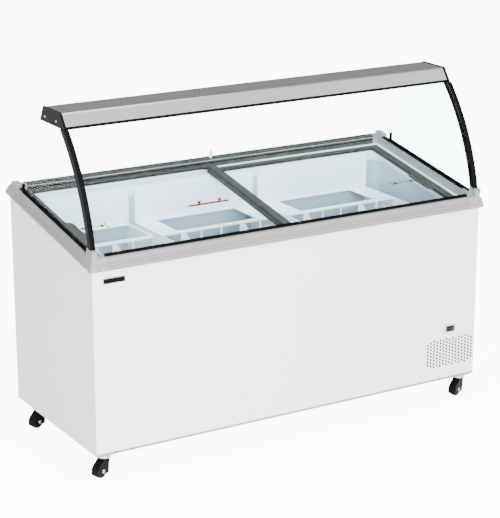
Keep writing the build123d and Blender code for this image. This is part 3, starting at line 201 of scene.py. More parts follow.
def tilt(obj):
    """Turns a piece that was made in deck coordinates onto the slope."""
    obj.matrix_world = deck_matrix @ obj.matrix_world
    settle(obj)

# %% [markdown]
# ## Shader building blocks
#
# Nearly every finish on this cabinet needs the same three effects: a faint unevenness of colour, a
# grain that catches the light, and a roughness that isn't the same everywhere, as on anything that
# has been wiped and handled. Each effect is a node group, built once and placed in the materials
# with its own values. A group puts out only a colour, a value or a normal. The shader stays in the
# material.

# %% Node group helper
def new_group(name, inputs, outputs):
    """An empty node group with its sockets, and the nodes at its two ends."""
    group = bpy.data.node_groups.new(name, "ShaderNodeTree")
    for label, kind, value in inputs:
        socket = group.interface.new_socket(label, in_out="INPUT", socket_type=kind)
        socket.default_value = value
    for label, kind in outputs:
        group.interface.new_socket(label, in_out="OUTPUT", socket_type=kind)
    start = group.nodes.new("NodeGroupInput")
    end = group.nodes.new("NodeGroupOutput")
    return group, start, end


# %% Soft mottle: one colour drifting slightly into another
mottle, start, end = new_group(
    "soft_mottle",
    [
        ("Base", "NodeSocketColor", (0.8, 0.8, 0.8, 1)),
        ("Drift", "NodeSocketColor", (0.7, 0.7, 0.7, 1)),
        ("Scale", "NodeSocketFloat", 6.0),
        ("Amount", "NodeSocketFloat", 0.5),
    ],
    [("Color", "NodeSocketColor")],
)
where = mottle.nodes.new("ShaderNodeTexCoord")
cloud = mottle.nodes.new("ShaderNodeTexNoise")
cloud.inputs["Detail"].default_value = 5.0
spread = mottle.nodes.new("ShaderNodeMapRange")
spread.inputs["From Min"].default_value = 0.3
spread.inputs["From Max"].default_value = 0.7
share = mottle.nodes.new("ShaderNodeMath")
share.operation = "MULTIPLY"
blend = mottle.nodes.new("ShaderNodeMix")
blend.data_type = "RGBA"
mottle.links.new(where.outputs["Object"], cloud.inputs["Vector"])
mottle.links.new(start.outputs["Scale"], cloud.inputs["Scale"])
mottle.links.new(cloud.outputs["Fac"], spread.inputs["Value"])
mottle.links.new(spread.outputs["Result"], share.inputs[0])
mottle.links.new(start.outputs["Amount"], share.inputs[1])
mottle.links.new(share.outputs["Value"], blend.inputs["Factor"])
mottle.links.new(start.outputs["Base"], blend.inputs["A"])
mottle.links.new(start.outputs["Drift"], blend.inputs["B"])
mottle.links.new(blend.outputs["Result"], end.inputs["Color"])

# %% Grain: a bump that can be stretched into brush lines
grain, start, end = new_group(
    "grain",
    [
        ("Scale", "NodeSocketFloat", 400.0),
        ("Stretch", "NodeSocketVector", (1, 1, 1)),
        ("Strength", "NodeSocketFloat", 0.1),
        ("Depth", "NodeSocketFloat", 0.0005),
    ],
    [("Normal", "NodeSocketVector")],
)
where = grain.nodes.new("ShaderNodeTexCoord")
pulled = grain.nodes.new("ShaderNodeVectorMath")
pulled.operation = "MULTIPLY"
speckle = grain.nodes.new("ShaderNodeTexNoise")
speckle.inputs["Detail"].default_value = 3.0
raised = grain.nodes.new("ShaderNodeBump")
grain.links.new(where.outputs["Object"], pulled.inputs[0])
grain.links.new(start.outputs["Stretch"], pulled.inputs[1])
grain.links.new(pulled.outputs["Vector"], speckle.inputs["Vector"])
grain.links.new(start.outputs["Scale"], speckle.inputs["Scale"])
grain.links.new(speckle.outputs["Fac"], raised.inputs["Height"])
grain.links.new(start.outputs["Strength"], raised.inputs["Strength"])
grain.links.new(start.outputs["Depth"], raised.inputs["Distance"])
grain.links.new(raised.outputs["Normal"], end.inputs["Normal"])

# %% Handling: a roughness that wanders between two values
handling, start, end = new_group(
    "handling",
    [
        ("Least", "NodeSocketFloat", 0.3),
        ("Most", "NodeSocketFloat", 0.4),
        ("Scale", "NodeSocketFloat", 9.0),
    ],
    [("Roughness", "NodeSocketFloat")],
)
where = handling.nodes.new("ShaderNodeTexCoord")
smear = handling.nodes.new("ShaderNodeTexNoise")
smear.inputs["Detail"].default_value = 6.0
smear.inputs["Roughness"].default_value = 0.6
level = handling.nodes.new("ShaderNodeMapRange")
level.inputs["From Min"].default_value = 0.35
level.inputs["From Max"].default_value = 0.65
handling.links.new(where.outputs["Object"], smear.inputs["Vector"])
handling.links.new(start.outputs["Scale"], smear.inputs["Scale"])
handling.links.new(smear.outputs["Fac"], level.inputs["Value"])
handling.links.new(start.outputs["Least"], level.inputs["To Min"])
handling.links.new(start.outputs["Most"], level.inputs["To Max"])
handling.links.new(level.outputs["Result"], end.inputs["Roughness"])

# %% A finish: one shader with the three effects in front of it
drift_share = 0.86  # how dark a colour drifts where no second colour is given


def place_group(tree, group, **values):
    """Puts a node group into a material, with the material's own values."""
    node = tree.nodes.new("ShaderNodeGroup")
    node.node_tree = group
    for label, value in values.items():
        node.inputs[label].default_value = value
    return node


def finish(
    name,
    colour,
    drift=None,
    mottle_scale=6.0,
    mottle_amount=0.4,
    rough=(0.3, 0.4),
    grain_scale=500.0,
    grain_stretch=(1, 1, 1),
    grain_strength=0.05,
    grain_depth=0.0004,
    metallic=0.0,
    coat=0.0,
    specular=0.5,
):
    """A procedural material. Colours are linear red, green and blue."""
    material = bpy.data.materials.new(name)
    material.use_nodes = True
    tree = material.node_tree
    shader = tree.nodes["Principled BSDF"]
    shader.inputs["Metallic"].default_value = metallic
    shader.inputs["Coat Weight"].default_value = coat
    shader.inputs["Coat Roughness"].default_value = 0.08
    shader.inputs["Specular IOR Level"].default_value = specular
    drift = drift or tuple(drift_share * c for c in colour)
    shade = place_group(
        tree,
        mottle,
        Base=(*colour, 1),
        Drift=(*drift, 1),
        Scale=mottle_scale,
        Amount=mottle_amount,
    )
    tree.links.new(shade.outputs["Color"], shader.inputs["Base Color"])
    wiped = place_group(tree, handling, Least=rough[0], Most=rough[1])
    tree.links.new(wiped.outputs["Roughness"], shader.inputs["Roughness"])
    fine = place_group(
        tree,
        grain,
        Scale=grain_scale,
        Stretch=grain_stretch,
        Strength=grain_strength,
        Depth=grain_depth,
    )
    tree.links.new(fine.outputs["Normal"], shader.inputs["Normal"])
    return material


def dress(material, *nodes):
    """Puts a material on CAD nodes."""
    for node in nodes:
        obj = frame["nodes"][node]
        if not obj.material_slots:
            obj.data.materials.append(material)
        for holder in obj.material_slots:
            holder.link = "OBJECT"
            holder.material = material

# %% [markdown]
# ## White sheet metal
#
# The cabinet's skin is coil-coated steel: a smooth white paint baked on before the sheet is bent.
# Close up it has a very fine orange peel. It reflects softly, so it gets a thin clear coat over a
# satin base.

# %% Painted steel and the tank's inside
white_steel = finish(
    "white_steel",
    (0.84, 0.84, 0.845),
    drift=(0.80, 0.80, 0.81),
    mottle_scale=1.6,
    rough=(0.26, 0.36),
    grain_scale=900.0,
    grain_strength=0.04,
    coat=0.25,
)
dress(white_steel, "left_panel", "right_panel", "front_panel", "back_panel", "rear_cover")

tray_grey = finish(
    "tray_grey",
    (0.36, 0.36, 0.37),
    mottle_scale=60.0,
    mottle_amount=0.6,
    rough=(0.35, 0.5),
    metallic=0.8,
)
dress(tray_grey, "base_tray")

# The liner is white sheet; its colour here is darkened and tinted blue as painted shade for the dim
# light inside the tank.
liner_white = finish(
    "liner_white",
    (0.36, 0.40, 0.47),
    drift=(0.31, 0.35, 0.42),
    mottle_scale=2.5,
    rough=(0.3, 0.42),
    grain_scale=160.0,
    grain_strength=0.12,
    grain_depth=0.0006,
)
dress(liner_white, "tank_liner")

collar_white = finish("collar_white", (0.66, 0.70, 0.75), rough=(0.35, 0.45), grain_scale=700.0)
dress(collar_white, "mouth_collar")

# %% [markdown]
# ## Rails, corners and lids
#
# The frame round the top is extruded plastic in a satin grey, and the corner brackets are moulded
# in the same colour. An extrusion carries fine die lines along its length, so its grain is
# stretched along X. The rear rail and the lid frames are a warmer, darker grey.

# %% Greys
rail_grey = finish(
    "rail_grey",
    (0.20, 0.20, 0.203),
    drift=(0.165, 0.165, 0.168),
    mottle_scale=4.0,
    rough=(0.32, 0.44),
    grain_scale=420.0,
    grain_stretch=(0.03, 1, 1),
    grain_strength=0.04,
)
dress(rail_grey, "front_rail")

side_rail_grey = finish(
    "side_rail_grey",
    (0.20, 0.20, 0.203),
    drift=(0.165, 0.165, 0.168),
    mottle_scale=4.0,
    rough=(0.32, 0.44),
    grain_scale=420.0,
    grain_stretch=(1, 0.03, 1),
    grain_strength=0.04,
)
dress(side_rail_grey, "left_rail", "right_rail")

corner_grey = finish(
    "corner_grey",
    (0.22, 0.22, 0.223),
    rough=(0.36, 0.48),
    grain_scale=900.0,
    grain_strength=0.12,
)
dress(corner_grey, "front_left_corner", "front_right_corner", "back_left_corner", "back_right_corner")

lid_grey = finish(
    "lid_grey",
    (0.044, 0.040, 0.037),
    drift=(0.034, 0.031, 0.029),
    rough=(0.42, 0.52),
    specular=0.15,
    grain_scale=1200.0,
    grain_strength=0.02,
)
dress(lid_grey, "left_lid_frame", "right_lid_frame", "left_lid_pull", "right_lid_pull", "back_rail")

peg_white = finish("peg_white", (0.78, 0.79, 0.80), rough=(0.3, 0.42), grain_scale=800.0)
dress(peg_white, "lid_stop")

# %% [markdown]
# ## Black plastic and rubber
#
# Posts, end caps, seals and castors are all black, but not the same black: moulded plastic has a
# soft sheen, a rubber seal is dull and a worn tread is dustier. One black for all of them would
# melt them together, so each gets its own roughness and a low specular level.

# %% Blacks
black_plastic = finish(
    "black_plastic",
    (0.002, 0.002, 0.0022),
    drift=(0.004, 0.004, 0.0045),
    rough=(0.22, 0.34),
    grain_scale=1200.0,
    grain_strength=0.05,
    specular=0.06,
)
dress(black_plastic, "end_posts", "end_caps", "power_inlet", "switch_frame", "badge_plate")
dress(black_plastic, "switch_rocker", "fan_shroud", "fan_blades")

seal_black = finish(
    "seal_black",
    (0.002, 0.002, 0.002),
    rough=(0.55, 0.7),
    grain_scale=1500.0,
    grain_strength=0.1,
    specular=0.03,
)
dress(seal_black, "glass_seals", "canopy_seal")

castor_black = finish(
    "castor_black",
    (0.003, 0.003, 0.0032),
    rough=(0.26, 0.4),
    grain_scale=1100.0,
    grain_strength=0.1,
    specular=0.08,
)
tread_black = finish(
    "tread_black",
    (0.005, 0.005, 0.005),
    drift=(0.02, 0.019, 0.018),
    mottle_scale=90.0,
    mottle_amount=0.35,
    rough=(0.5, 0.75),
    grain_scale=900.0,
    grain_strength=0.2,
    specular=0.15,
)
castor_corners = ("front_left", "front_right", "rear_left", "rear_right")
for corner in castor_corners:
    dress(castor_black, f"castor_fork_{corner}")
    dress(tread_black, f"castor_wheel_{corner}")

# %% [markdown]
# ## Metal
#
# The canopy is a folded strip of brushed aluminium. Brushing leaves long fine scratches along the
# strip, so the grain is pulled out along X and the reflections smear across it.

# %% Canopy, steel and copper
canopy_silver = finish(
    "canopy_silver",
    (0.36, 0.36, 0.363),
    drift=(0.32, 0.32, 0.323),
    mottle_scale=3.0,
    rough=(0.28, 0.34),
    grain_scale=900.0,
    grain_stretch=(0.02, 1, 1),
    grain_strength=0.05,
    metallic=1.0,
)
dress(canopy_silver, "canopy")

bright_steel = finish(
    "bright_steel",
    (0.68, 0.68, 0.69),
    rough=(0.2, 0.32),
    grain_scale=300.0,
    grain_strength=0.05,
    metallic=1.0,
)
dress(bright_steel, "bright_screws", "castor_plates")

black_steel = finish("black_steel", (0.02, 0.02, 0.02), rough=(0.3, 0.4), metallic=0.6)
dress(black_steel, "black_screws")

copper = finish(
    "copper",
    (0.55, 0.25, 0.13),
    drift=(0.32, 0.15, 0.09),
    mottle_scale=40.0,
    rough=(0.25, 0.42),
    metallic=1.0,
)
dress(copper, "refrigerant_pipes", "evaporator")

fin_metal = finish("fin_metal", (0.5, 0.5, 0.5), rough=(0.35, 0.5), metallic=0.9, grain_scale=200.0)
dress(fin_metal, "condenser")

pot_black = finish("pot_black", (0.016, 0.016, 0.017), rough=(0.3, 0.45), coat=0.3)
dress(pot_black, "compressor", "fan_motor")

foam_cream = finish(
    "foam_cream",
    (0.62, 0.5, 0.24),
    drift=(0.5, 0.38, 0.16),
    mottle_scale=30.0,
    rough=(0.8, 0.95),
    grain_scale=90.0,
    grain_strength=0.5,
    grain_depth=0.002,
)
dress(foam_cream, "foam_insulation")

# %% [markdown]
# ## Racks, light and display
#
# The racks are powder-coated, whiter than the tank behind them, and stand out against it. The light
# bar under the canopy has a milky diffuser, which glows weakly. The display's window is dark and
# glossy, in a pale bezel.

# %% Racks, light and display
rack_white = finish(
    "rack_white",
    (0.86, 0.87, 0.88),
    drift=(0.80, 0.82, 0.845),
    rough=(0.25, 0.36),
    grain_scale=600.0,
    coat=0.2,
)
dress(rack_white, "pan_rack_left", "pan_rack_middle", "pan_rack_right")

diffuser = finish("diffuser", (0.8, 0.81, 0.82), rough=(0.35, 0.45))
diffuser_shader = diffuser.node_tree.nodes["Principled BSDF"]
diffuser_shader.inputs["Emission Color"].default_value = (1, 1, 1, 1)
diffuser_shader.inputs["Emission Strength"].default_value = 0.35
dress(diffuser, "light_bar")

display_black = finish(
    "display_black",
    (0.003, 0.003, 0.0035),
    rough=(0.06, 0.12),
    grain_strength=0.0,
    specular=0.2,
)
dress(display_black, "display_window")
bezel_grey = finish("bezel_grey", (0.42, 0.42, 0.43), rough=(0.35, 0.45), grain_scale=900.0)
dress(bezel_grey, "display_bezel")

# %% [markdown]
# ## Glass
#
# Toughened glass is clear with a cold tint that shows where it is seen on edge. A real pane lets
# the lamps shine through onto the racks. A path tracer treats a shadow ray as blocked by glass, so
# for shadow rays alone the material is see-through, with a little of the tint. The panes carry an
# anti-glare coating, as display glass does, so their index is set low and they mirror little.

# %% Clear glass that lets lamps through
def clear_glass(name, tint, shadow_tint):
    """Clear glass for the eye, and a tinted opening for the lamps."""
    material = bpy.data.materials.new(name)
    material.use_nodes = True
    tree = material.node_tree
    shader = tree.nodes["Principled BSDF"]
    shader.inputs["Base Color"].default_value = (*tint, 1)
    shader.inputs["Transmission Weight"].default_value = 1.0
    shader.inputs["IOR"].default_value = 1.03
    shader.inputs["Specular IOR Level"].default_value = 0.15
    shader.inputs["Metallic"].default_value = 0.0
    wiped = place_group(tree, handling, Least=0.0, Most=0.004, Scale=7.0)
    tree.links.new(wiped.outputs["Roughness"], shader.inputs["Roughness"])
    passing = tree.nodes.new("ShaderNodeBsdfTransparent")
    passing.inputs["Color"].default_value = (*shadow_tint, 1)
    path = tree.nodes.new("ShaderNodeLightPath")
    choose = tree.nodes.new("ShaderNodeMixShader")
    out = tree.nodes["Material Output"]
    tree.links.new(path.outputs["Is Shadow Ray"], choose.inputs["Fac"])
    tree.links.new(shader.outputs["BSDF"], choose.inputs[1])
    tree.links.new(passing.outputs["BSDF"], choose.inputs[2])
    tree.links.new(choose.outputs["Shader"], out.inputs["Surface"])
    return material


pane_glass = clear_glass("pane_glass", (0.86, 0.995, 0.98), (0.94, 0.985, 0.985))
lid_glass = clear_glass("lid_glass", (0.93, 0.955, 0.98), (0.93, 0.955, 0.98))
dress(pane_glass, "front_glass", "left_glass", "right_glass")
dress(lid_glass, "left_lid_glass", "right_lid_glass")

# %% [markdown]
# ## Painted shade behind the air holes
#
# The holes at the lower right of the front draw air across the condenser. The machine bay behind
# them lies in shade, so a black slab behind the sheet stands in for it as painted shade, and each
# hole reads as black. Black discs in the holes would do as well, but the slab is one piece and needs
# no list of holes. It is a thin slab with softened edges, set just behind the front sheet and kept
# clear of the display's body.

# %% Painted shade behind the air holes
panel_low, panel_high = node_box("front_panel")
condenser_low = node_box("condenser")[0]
display_low = node_box("display_bezel")[0]
mat_gap = 0.0004
mat_thickness = 0.004
mat_past_condenser = 0.02
mat_above_lip = 0.004
mat_margin = 0.006
mat_back = panel_high.y + mat_gap + mat_thickness
# A black slab behind the air holes: painted shade for the dark machine bay.
painted_shade_mat = add_block(
    "painted_shade_mat",
    (condenser_low.x - mat_past_condenser, panel_high.y + mat_gap, panel_low.z + mat_above_lip),
    (panel_high.x - mat_margin, mat_back, display_low.z - mat_margin),
)
select_only(painted_shade_mat)
bpy.ops.object.mode_set(mode="EDIT")
bpy.ops.mesh.select_all(action="SELECT")
bpy.ops.mesh.subdivide(number_cuts=6)
bpy.ops.object.mode_set(mode="OBJECT")
round_edges(painted_shade_mat, 0.001)
# A dead black that paints the shade inside the machine bay.
painted_shade_black = finish(
    "painted_shade_black",
    (0.004, 0.004, 0.004),
    rough=(0.85, 0.95),
    grain_scale=700.0,
    grain_strength=0.6,
    specular=0.1,
)
hand_over(painted_shade_mat, "cabinet", painted_shade_black)

# %% [markdown]
# ## Painted shadow in the steps of the rails
#
# Each rail is an extrusion with two steps on its outer face, and shadow falls in the steps. A dark
# bead, about a millimetre high, is laid in each one as painted shadow. A stripe in the material
# could do the same, but a bead stays a real edge from every side. It is drawn flat, in deck
# coordinates, and then tilted with the deck.

# %% Beads of painted shadow in the steps of the four rails
rail_top = level_of("front_rail")
front_nose = span_of("front_rail")[0]
back_inner, back_nose = span_of("back_rail")
side_front, side_back = span_of("left_rail")
rail_low, rail_high = node_box("front_rail")
left_low, left_high = node_box("left_rail")
right_low, right_high = node_box("right_rail")
bead_high = 0.0012
bead_deep = 0.0014
bead_proud = 0.0004
steps = ((0.016, 0.0065), (0.025, 0.003))  # how far below the top, and in from the nose


def bead(name, low, high):
    """A slim strip between two corners in deck coordinates, laid on the slope."""
    strip = add_block(name, low, high)
    tilt(strip)
    round_edges(strip, 0.0003, segments=1)
    return strip


beads = []
for below, inward in steps:
    top = rail_top - below
    near = front_nose + inward - bead_proud
    beads.append(
        bead("bead", (rail_low.x, near, top - bead_high), (rail_high.x, near + bead_deep, top))
    )
    far = back_nose - inward + bead_proud
    beads.append(
        bead("bead", (rail_low.x, far - bead_deep, top - bead_high), (rail_high.x, far, top))
    )
    west = left_low.x + inward - bead_proud
    east = right_high.x - inward + bead_proud
    for low_x, high_x in ((west, west + bead_deep), (east - bead_deep, east)):
        beads.append(
            bead("bead", (low_x, side_front, top - bead_high), (high_x, side_back, top))
        )
rail_shadow_beads = join_pieces("rail_shadow_beads", beads)
# A dark finish that paints the shadow in the rail steps.
groove_painted_shadow = finish(
    "groove_painted_shadow",
    (0.012, 0.012, 0.012),
    rough=(0.6, 0.8),
    grain_scale=900.0,
    specular=0.2,
)
hand_over(rail_shadow_beads, "cabinet", groove_painted_shadow)

# %% [markdown]
# ## Bands on the rear rail
#
# Seen from the customer's side, the rear rail's inner wall shows as several bands, a pale lip, a
# dark channel for the lids' brush seals and a brown-grey wall. The pale lip and the two dark
# brush strips are thin bars on that wall, above the lids' path.

# %% Brush strips and pale lip
wall_out = 0.0008
brushes = ((0.0015, 0.0022), (0.0135, 0.0032))  # how far below the top, and how high
lip_top = 0.0040
lip_bottom = 0.0075
brush_strips = [
    bead(
        "brush",
        (rail_low.x, back_inner - wall_out, rail_top - below - height),
        (rail_high.x, back_inner + wall_out, rail_top - below),
    )
    for below, height in brushes
]
rear_brushes = join_pieces("rear_brushes", brush_strips)
hand_over(rear_brushes, "cabinet", seal_black)

pale_lip = bead(
    "rear_lip",
    (rail_low.x, back_inner - wall_out, rail_top - lip_bottom),
    (rail_high.x, back_inner + wall_out, rail_top - lip_top),
)
hand_over(pale_lip, "cabinet", corner_grey)

# %% [markdown]
# ## Gaskets on the side rails
#
# A flat rubber strip lies on each side rail, between the side glass and the lids. It is one bead
# again, wide and low, and a hair sunk into the rail so that no light shows under it.

# %% Black gaskets on top of the side rails, inboard of the side glass
gasket_width = 0.0150
gasket_high = 0.0012
gasket_sunk = 0.0002
gasket_set_back = 0.0005
gasket_front = 0.03
gasket_rear = 0.002
gaskets = []
for inner_x, outward in ((left_high.x, -1), (right_low.x, 1)):
    edge_x = inner_x + outward * gasket_set_back
    far_x = edge_x + outward * gasket_width
    gaskets.append(
        bead(
            "gasket",
            (min(edge_x, far_x), side_front + gasket_front, rail_top - gasket_sunk),
            (max(edge_x, far_x), side_back - gasket_rear, rail_top + gasket_high),
        )
    )
side_gaskets = join_pieces("side_gaskets", gaskets)
hand_over(side_gaskets, "cabinet", seal_black)

# %% [markdown]
# ## Stickers on the lids
#
# Each lid has a double arrow printed next to its finger pull, to show that it slides. It is a
# label a fifth of a millimetre thick. It could be painted on with a pattern, but cut as real shapes
# it has clean edges and slides with its lid: a shaft, two heads and an end bar beyond each head.

# %% Double arrows
label_t = 0.0002
arrow_half = 0.046
head_length = 0.016
head_half = 0.011
bar_half = 0.020
stroke = 0.0040
bar_gap = 0.004
arrow_up_slope = 0.02


def thin_triangle(corners, thickness):
    """Three corners of a filled circle, moved to their places and then thickened."""
    bpy.ops.object.select_all(action="DESELECT")
    bpy.ops.mesh.primitive_circle_add(vertices=3, radius=head_half, fill_type="NGON")
    triangle = bpy.context.object
    for vertex, corner in zip(triangle.data.vertices, corners):
        vertex.co = corner
    bpy.ops.object.mode_set(mode="EDIT")
    bpy.ops.mesh.select_all(action="SELECT")
    bpy.ops.mesh.extrude_region_move(TRANSFORM_OT_translate={"value": thickness})
    bpy.ops.mesh.select_all(action="SELECT")
    bpy.ops.mesh.normals_make_consistent(inside=False)
    bpy.ops.object.mode_set(mode="OBJECT")
    return triangle


def arrow_head(tip_x, mid_y, level, way):
    """A flat triangle that points along X."""
    base_x = tip_x - way * head_length
    corners = (
        (tip_x, mid_y, level),
        (base_x, mid_y + head_half, level),
        (base_x, mid_y - head_half, level),
    )
    return thin_triangle(corners, (0, 0, label_t))


def double_arrow(name, mid_x, mid_y, level):
    """Shaft, heads and end bars as one label, laid on the slope."""
    parts = [
        add_block(
            "shaft",
            (mid_x - arrow_half + head_length, mid_y - stroke / 2, level),
            (mid_x + arrow_half - head_length, mid_y + stroke / 2, level + label_t),
        )
    ]
    for way in (-1, 1):
        tip_x = mid_x + way * arrow_half
        parts.append(arrow_head(tip_x, mid_y, level, way))
        bar_x = tip_x + way * bar_gap
        parts.append(
            add_block(
                "end_bar",
                (bar_x - stroke / 2, mid_y - bar_half, level),
                (bar_x + stroke / 2, mid_y + bar_half, level + label_t),
            )
        )
    label = join_pieces(name, parts)
    tilt(label)
    return label


ink_grey = finish("ink_grey", (0.004, 0.004, 0.005), rough=(0.5, 0.6), specular=0.1)
for side in ("left", "right"):
    pull_low, pull_high = node_box(f"{side}_lid_pull")
    pull_front, pull_back = span_of(f"{side}_lid_pull")
    level = level_of(f"{side}_lid_glass") + label_t / 2
    reach = arrow_half + bar_gap
    arrow_x = pull_high.x + reach if side == "left" else pull_low.x - reach
    arrow_y = (pull_front + pull_back) / 2 + arrow_up_slope
    arrow = double_arrow(f"{side}_arrow", arrow_x, arrow_y, level)
    hand_over(arrow, f"{side}_lid", ink_grey)

# %% [markdown]
# ## Load line
#
# A red line on the rear wall marks how high the tubs may stand. Two small triangles point down
# from it. It is printed on the middle rack's back plate, so it is made like the arrows, as thin
# shapes that stand on the plate.

# %% Load line and its two pointers
rack_low, rack_high = node_box("pan_rack_middle")
rack_wall = 0.004
rack_back_height = 0.123
deck_level = rack_high.z - rack_back_height
line_above_deck = 0.028
line_off_middle = 0.057
line_y = rack_high.y - rack_wall
line_z = deck_level + line_above_deck
line_middle = (rack_low.x + rack_high.x) / 2 + line_off_middle
line_half = 0.083
line_high = 0.0062
print_t = 0.0003
pointer_places = (-0.46, 0.55)  # as shares of half the line's length
pointer_half = 0.009
pointer_tip = 0.002
pointer_top = 0.013
line_bits = [
    add_block(
        "line",
        (line_middle - line_half, line_y - print_t, line_z - line_high / 2),
        (line_middle + line_half, line_y, line_z + line_high / 2),
    )
]
for place in pointer_places:
    tip_x = line_middle + place * line_half
    face_y = line_y - print_t
    corners = (
        (tip_x, face_y, line_z - pointer_tip),
        (tip_x - pointer_half, face_y, line_z + pointer_top),
        (tip_x + pointer_half, face_y, line_z + pointer_top),
    )
    line_bits.append(thin_triangle(corners, (0, print_t, 0)))
load_line = join_pieces("load_line", line_bits)
line_red = finish("line_red", (0.30, 0.0, 0.003), rough=(0.5, 0.6), specular=0.1)
hand_over(load_line, "cabinet", line_red)

# %% [markdown]
# ## Rims of the racks
#
# The racks are welded from bent sheet, and the cut edges are turned over into a rim that outlines
# each back plate and the front of each deck. The rims are whiter than the racks: a painted highlight
# along the edges. A bevel on the plate wouldn't stand out from it, so the rims are slim bars with
# rounded edges, laid on the sheet.

# %% Rolled rims with a painted highlight
rim = 0.0055
rim_proud = 0.0035
rim_sunk = 0.0002
rim_bevel = 0.0012
round_corner = 0.012
skirt_front = 0.056
skirt_rim_proud = 0.0025
skirt_rim_up = 0.0015
# A brighter white than the racks: a painted highlight along the rims.
rim_white_highlight = finish("rim_white_highlight", (0.93, 0.935, 0.94), rough=(0.2, 0.3), coat=0.4)
for rack in ("pan_rack_left", "pan_rack_middle", "pan_rack_right"):
    low, high = node_box(rack)
    front = high.y - rack_wall - rim_proud
    back = high.y - rack_wall + rim_sunk
    bars = [
        add_block("rim", (low.x, front, deck_level), (low.x + rim, back, high.z - round_corner)),
        add_block("rim", (high.x - rim, front, deck_level), (high.x, back, high.z - round_corner)),
        add_block(
            "rim",
            (low.x + round_corner, front, high.z - rim),
            (high.x - round_corner, back, high.z),
        ),
        add_block(
            "rim",
            (low.x, skirt_front - skirt_rim_proud, deck_level - rim),
            (high.x, skirt_front + rim_sunk, deck_level + skirt_rim_up),
        ),
    ]
    for bar in bars:
        round_edges(bar, rim_bevel)
    hand_over(join_pieces(f"{rack}_rims", bars), "cabinet", rim_white_highlight)

# %% [markdown]
# ## Badge and display
#
# The badge stays blank. A thin pale line runs round it, as on most nameplates. The display shows a
# temperature in the usual seven-segment figures, each segment a tiny lit bar. A text object would
# look like print, while seven bars in a list give the figures of a real display.

# %% Border of the badge
badge_low, badge_high = node_box("badge_plate")
border = 0.0008
inset = 0.0012
border_half = 0.0002
front_y = badge_low.y - border_half
left_x, right_x = badge_low.x + inset, badge_high.x - inset
low_z, high_z = badge_low.z + inset, badge_high.z - inset
back_y = badge_low.y + border_half
border_bars = [
    add_block("border", (left_x, front_y, low_z), (right_x, back_y, low_z + border)),
    add_block("border", (left_x, front_y, high_z - border), (right_x, back_y, high_z)),
    add_block("border", (left_x, front_y, low_z), (left_x + border, back_y, high_z)),
    add_block("border", (right_x - border, front_y, low_z), (right_x, back_y, high_z)),
]
badge_border = join_pieces("badge_border", border_bars)
pale_print = finish("pale_print", (0.6, 0.6, 0.6), rough=(0.3, 0.4), grain_scale=900.0)
hand_over(badge_border, "cabinet", pale_print)

# %% Figures of the display
window_low, window_high = node_box("display_window")
figure_wide = 0.0062
figure_high = 0.0120
figure_pitch = 1.5  # in widths of a figure
bar = 0.0009
bar_proud = 0.0001
bar_sunk = 0.0003
segments = {
    "top": ((0, 1), (1, 1)),
    "middle": ((0, 0.5), (1, 0.5)),
    "bottom": ((0, 0), (1, 0)),
    "upper_left": ((0, 0.5), (0, 1)),
    "upper_right": ((1, 0.5), (1, 1)),
    "lower_left": ((0, 0), (0, 0.5)),
    "lower_right": ((1, 0), (1, 0.5)),
}
figures = (
    ("middle",),
    ("upper_right", "lower_right"),
    tuple(segments),
)
window_mid_x = (window_low.x + window_high.x) / 2
window_mid_z = (window_low.z + window_high.z) / 2
lit_bars = []
for place, lit in enumerate(figures):
    base_x = window_mid_x + (place - 1) * figure_wide * figure_pitch - figure_wide / 2
    base_z = window_mid_z - figure_high / 2
    for label in lit:
        (x0, z0), (x1, z1) = segments[label]
        low_x, high_x = base_x + x0 * figure_wide, base_x + x1 * figure_wide
        low_z, high_z = base_z + z0 * figure_high, base_z + z1 * figure_high
        lit_bars.append(
            add_block(
                "segment",
                (low_x - bar / 2, window_low.y - bar_proud, low_z - bar / 2),
                (high_x + bar / 2, window_low.y + bar_sunk, high_z + bar / 2),
            )
        )
display_figures = join_pieces("display_figures", lit_bars)
figure_red = finish("figure_red", (0.12, 0.02, 0.015), rough=(0.4, 0.5))
figure_shader = figure_red.node_tree.nodes["Principled BSDF"]
figure_shader.inputs["Emission Color"].default_value = (1.0, 0.16, 0.10, 1)
figure_shader.inputs["Emission Strength"].default_value = 0.05
hand_over(display_figures, "cabinet", figure_red)

# %% [markdown]
# ## Castors
#
# Each fork is pinned by a bolt through the wheel, with a hexagon head on one side, a nut on the
# other and a washer under each. A six-sided slug with its edges broken makes both. The joints of the
# model give the wheel's centre and the direction of its axle, so nothing here is measured by eye.

# %% Axle bolts and washers
joints = {joint["name"]: joint for joint in frame["joints"]}
head_radius = 0.0052
head_depth = 0.0030
fork_half = 0.0145
washer_radius = head_radius * 1.35
washer_t = 0.0008
for corner in castor_corners:
    roll = joints[f"roll_{corner}"]
    centre = Vector(roll["pos_m"])
    axle = Vector(roll["axis"]).normalized()
    ends = []
    for way in (-1, 1):
        seat = centre + axle * way * (fork_half + head_depth / 2)
        head = add_disc("bolt", seat, axle * way, head_radius, head_depth, sides=6)
        round_edges(head, 0.0005)
        washer_seat = centre + axle * way * (fork_half + washer_t / 2)
        washer = add_disc("washer", washer_seat, axle, washer_radius, washer_t, sides=32)
        round_edges(washer, 0.0002, segments=1)
        ends += [head, washer]
    hand_over(
        join_pieces(f"axle_bolt_{corner}", ends), f"fork_{corner}", bright_steel
    )

# %% [markdown]
# ## Light and floor
#
# The picture is lit like a catalogue: a white room with a grey wall behind the cabinet, which
# gives the canopy's flat top something darker to mirror, one broad soft lamp in front on the left
# and a weak one overhead. The floor is pale and glows where it is looked at, straight or through a
# pane, so that it reads as white without lighting the cabinet from below.

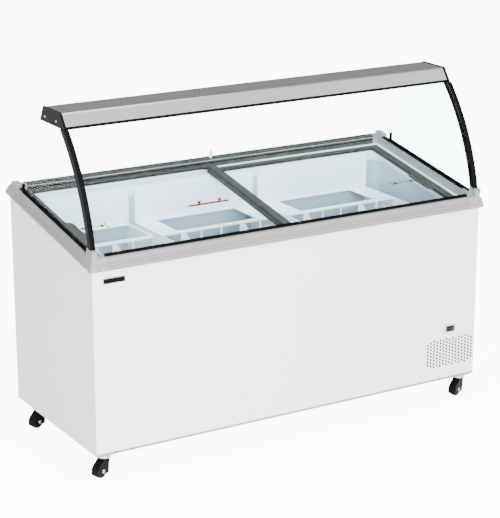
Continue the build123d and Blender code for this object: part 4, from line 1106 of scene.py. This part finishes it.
# %% Room, lamps and floor
world = bpy.data.worlds.new("room")
bpy.context.scene.world = world
world.use_nodes = True
room = world.node_tree
room.nodes["Background"].inputs["Strength"].default_value = 2.4
direction = room.nodes.new("ShaderNodeTexCoord")
axes = room.nodes.new("ShaderNodeSeparateXYZ")
wall = room.nodes.new("ShaderNodeMapRange")
wall.inputs["From Min"].default_value = -0.7
wall.inputs["From Max"].default_value = 0.6
wall.inputs["To Min"].default_value = 1.4
wall.inputs["To Max"].default_value = 0.2
room.links.new(direction.outputs["Generated"], axes.inputs["Vector"])
room.links.new(axes.outputs["Y"], wall.inputs["Value"])
room.links.new(wall.outputs["Result"], room.nodes["Background"].inputs["Color"])


def soft_lamp(name, place, target, size, power):
    """A square lamp that faces a point."""
    lamp_data = bpy.data.lights.new(name, "AREA")
    lamp_data.size = size
    lamp_data.energy = power
    lamp = bpy.data.objects.new(name, lamp_data)
    lamp.location = place
    aim = Vector(target) - Vector(place)
    lamp.rotation_mode = "QUATERNION"
    lamp.rotation_quaternion = aim.to_track_quat("-Z", "Y")
    bpy.context.scene.collection.objects.link(lamp)


soft_lamp("key_lamp", (-1.8, -4.4, 1.9), (-0.1, 0, 0.7), 2.6, 500.0)
soft_lamp("top_lamp", (0.0, 0.2, 3.6), (0, 0, 0.6), 2.0, 70.0)

bpy.ops.object.select_all(action="DESELECT")
bpy.ops.mesh.primitive_plane_add(size=40.0, location=(0, 0, 0))
floor = bpy.context.object
floor.name = "floor"
floor_white = finish("floor_white", (0.9, 0.9, 0.9), rough=(0.6, 0.7), grain_strength=0.0)
floor_tree = floor_white.node_tree
floor_shader = floor_tree.nodes["Principled BSDF"]
floor_shader.inputs["Emission Color"].default_value = (1, 1, 1, 1)
path = floor_tree.nodes.new("ShaderNodeLightPath")
glow_strength = 9.0
seen = floor_tree.nodes.new("ShaderNodeMath")
seen.operation = "MAXIMUM"
floor_glow = floor_tree.nodes.new("ShaderNodeMath")
floor_glow.operation = "MULTIPLY"
floor_glow.inputs[1].default_value = glow_strength
floor_tree.links.new(path.outputs["Is Camera Ray"], seen.inputs[0])
floor_tree.links.new(path.outputs["Is Transmission Ray"], seen.inputs[1])
floor_tree.links.new(seen.outputs["Value"], floor_glow.inputs[0])
floor_tree.links.new(floor_glow.outputs["Value"], floor_shader.inputs["Emission Strength"])
floor.data.materials.append(floor_white)
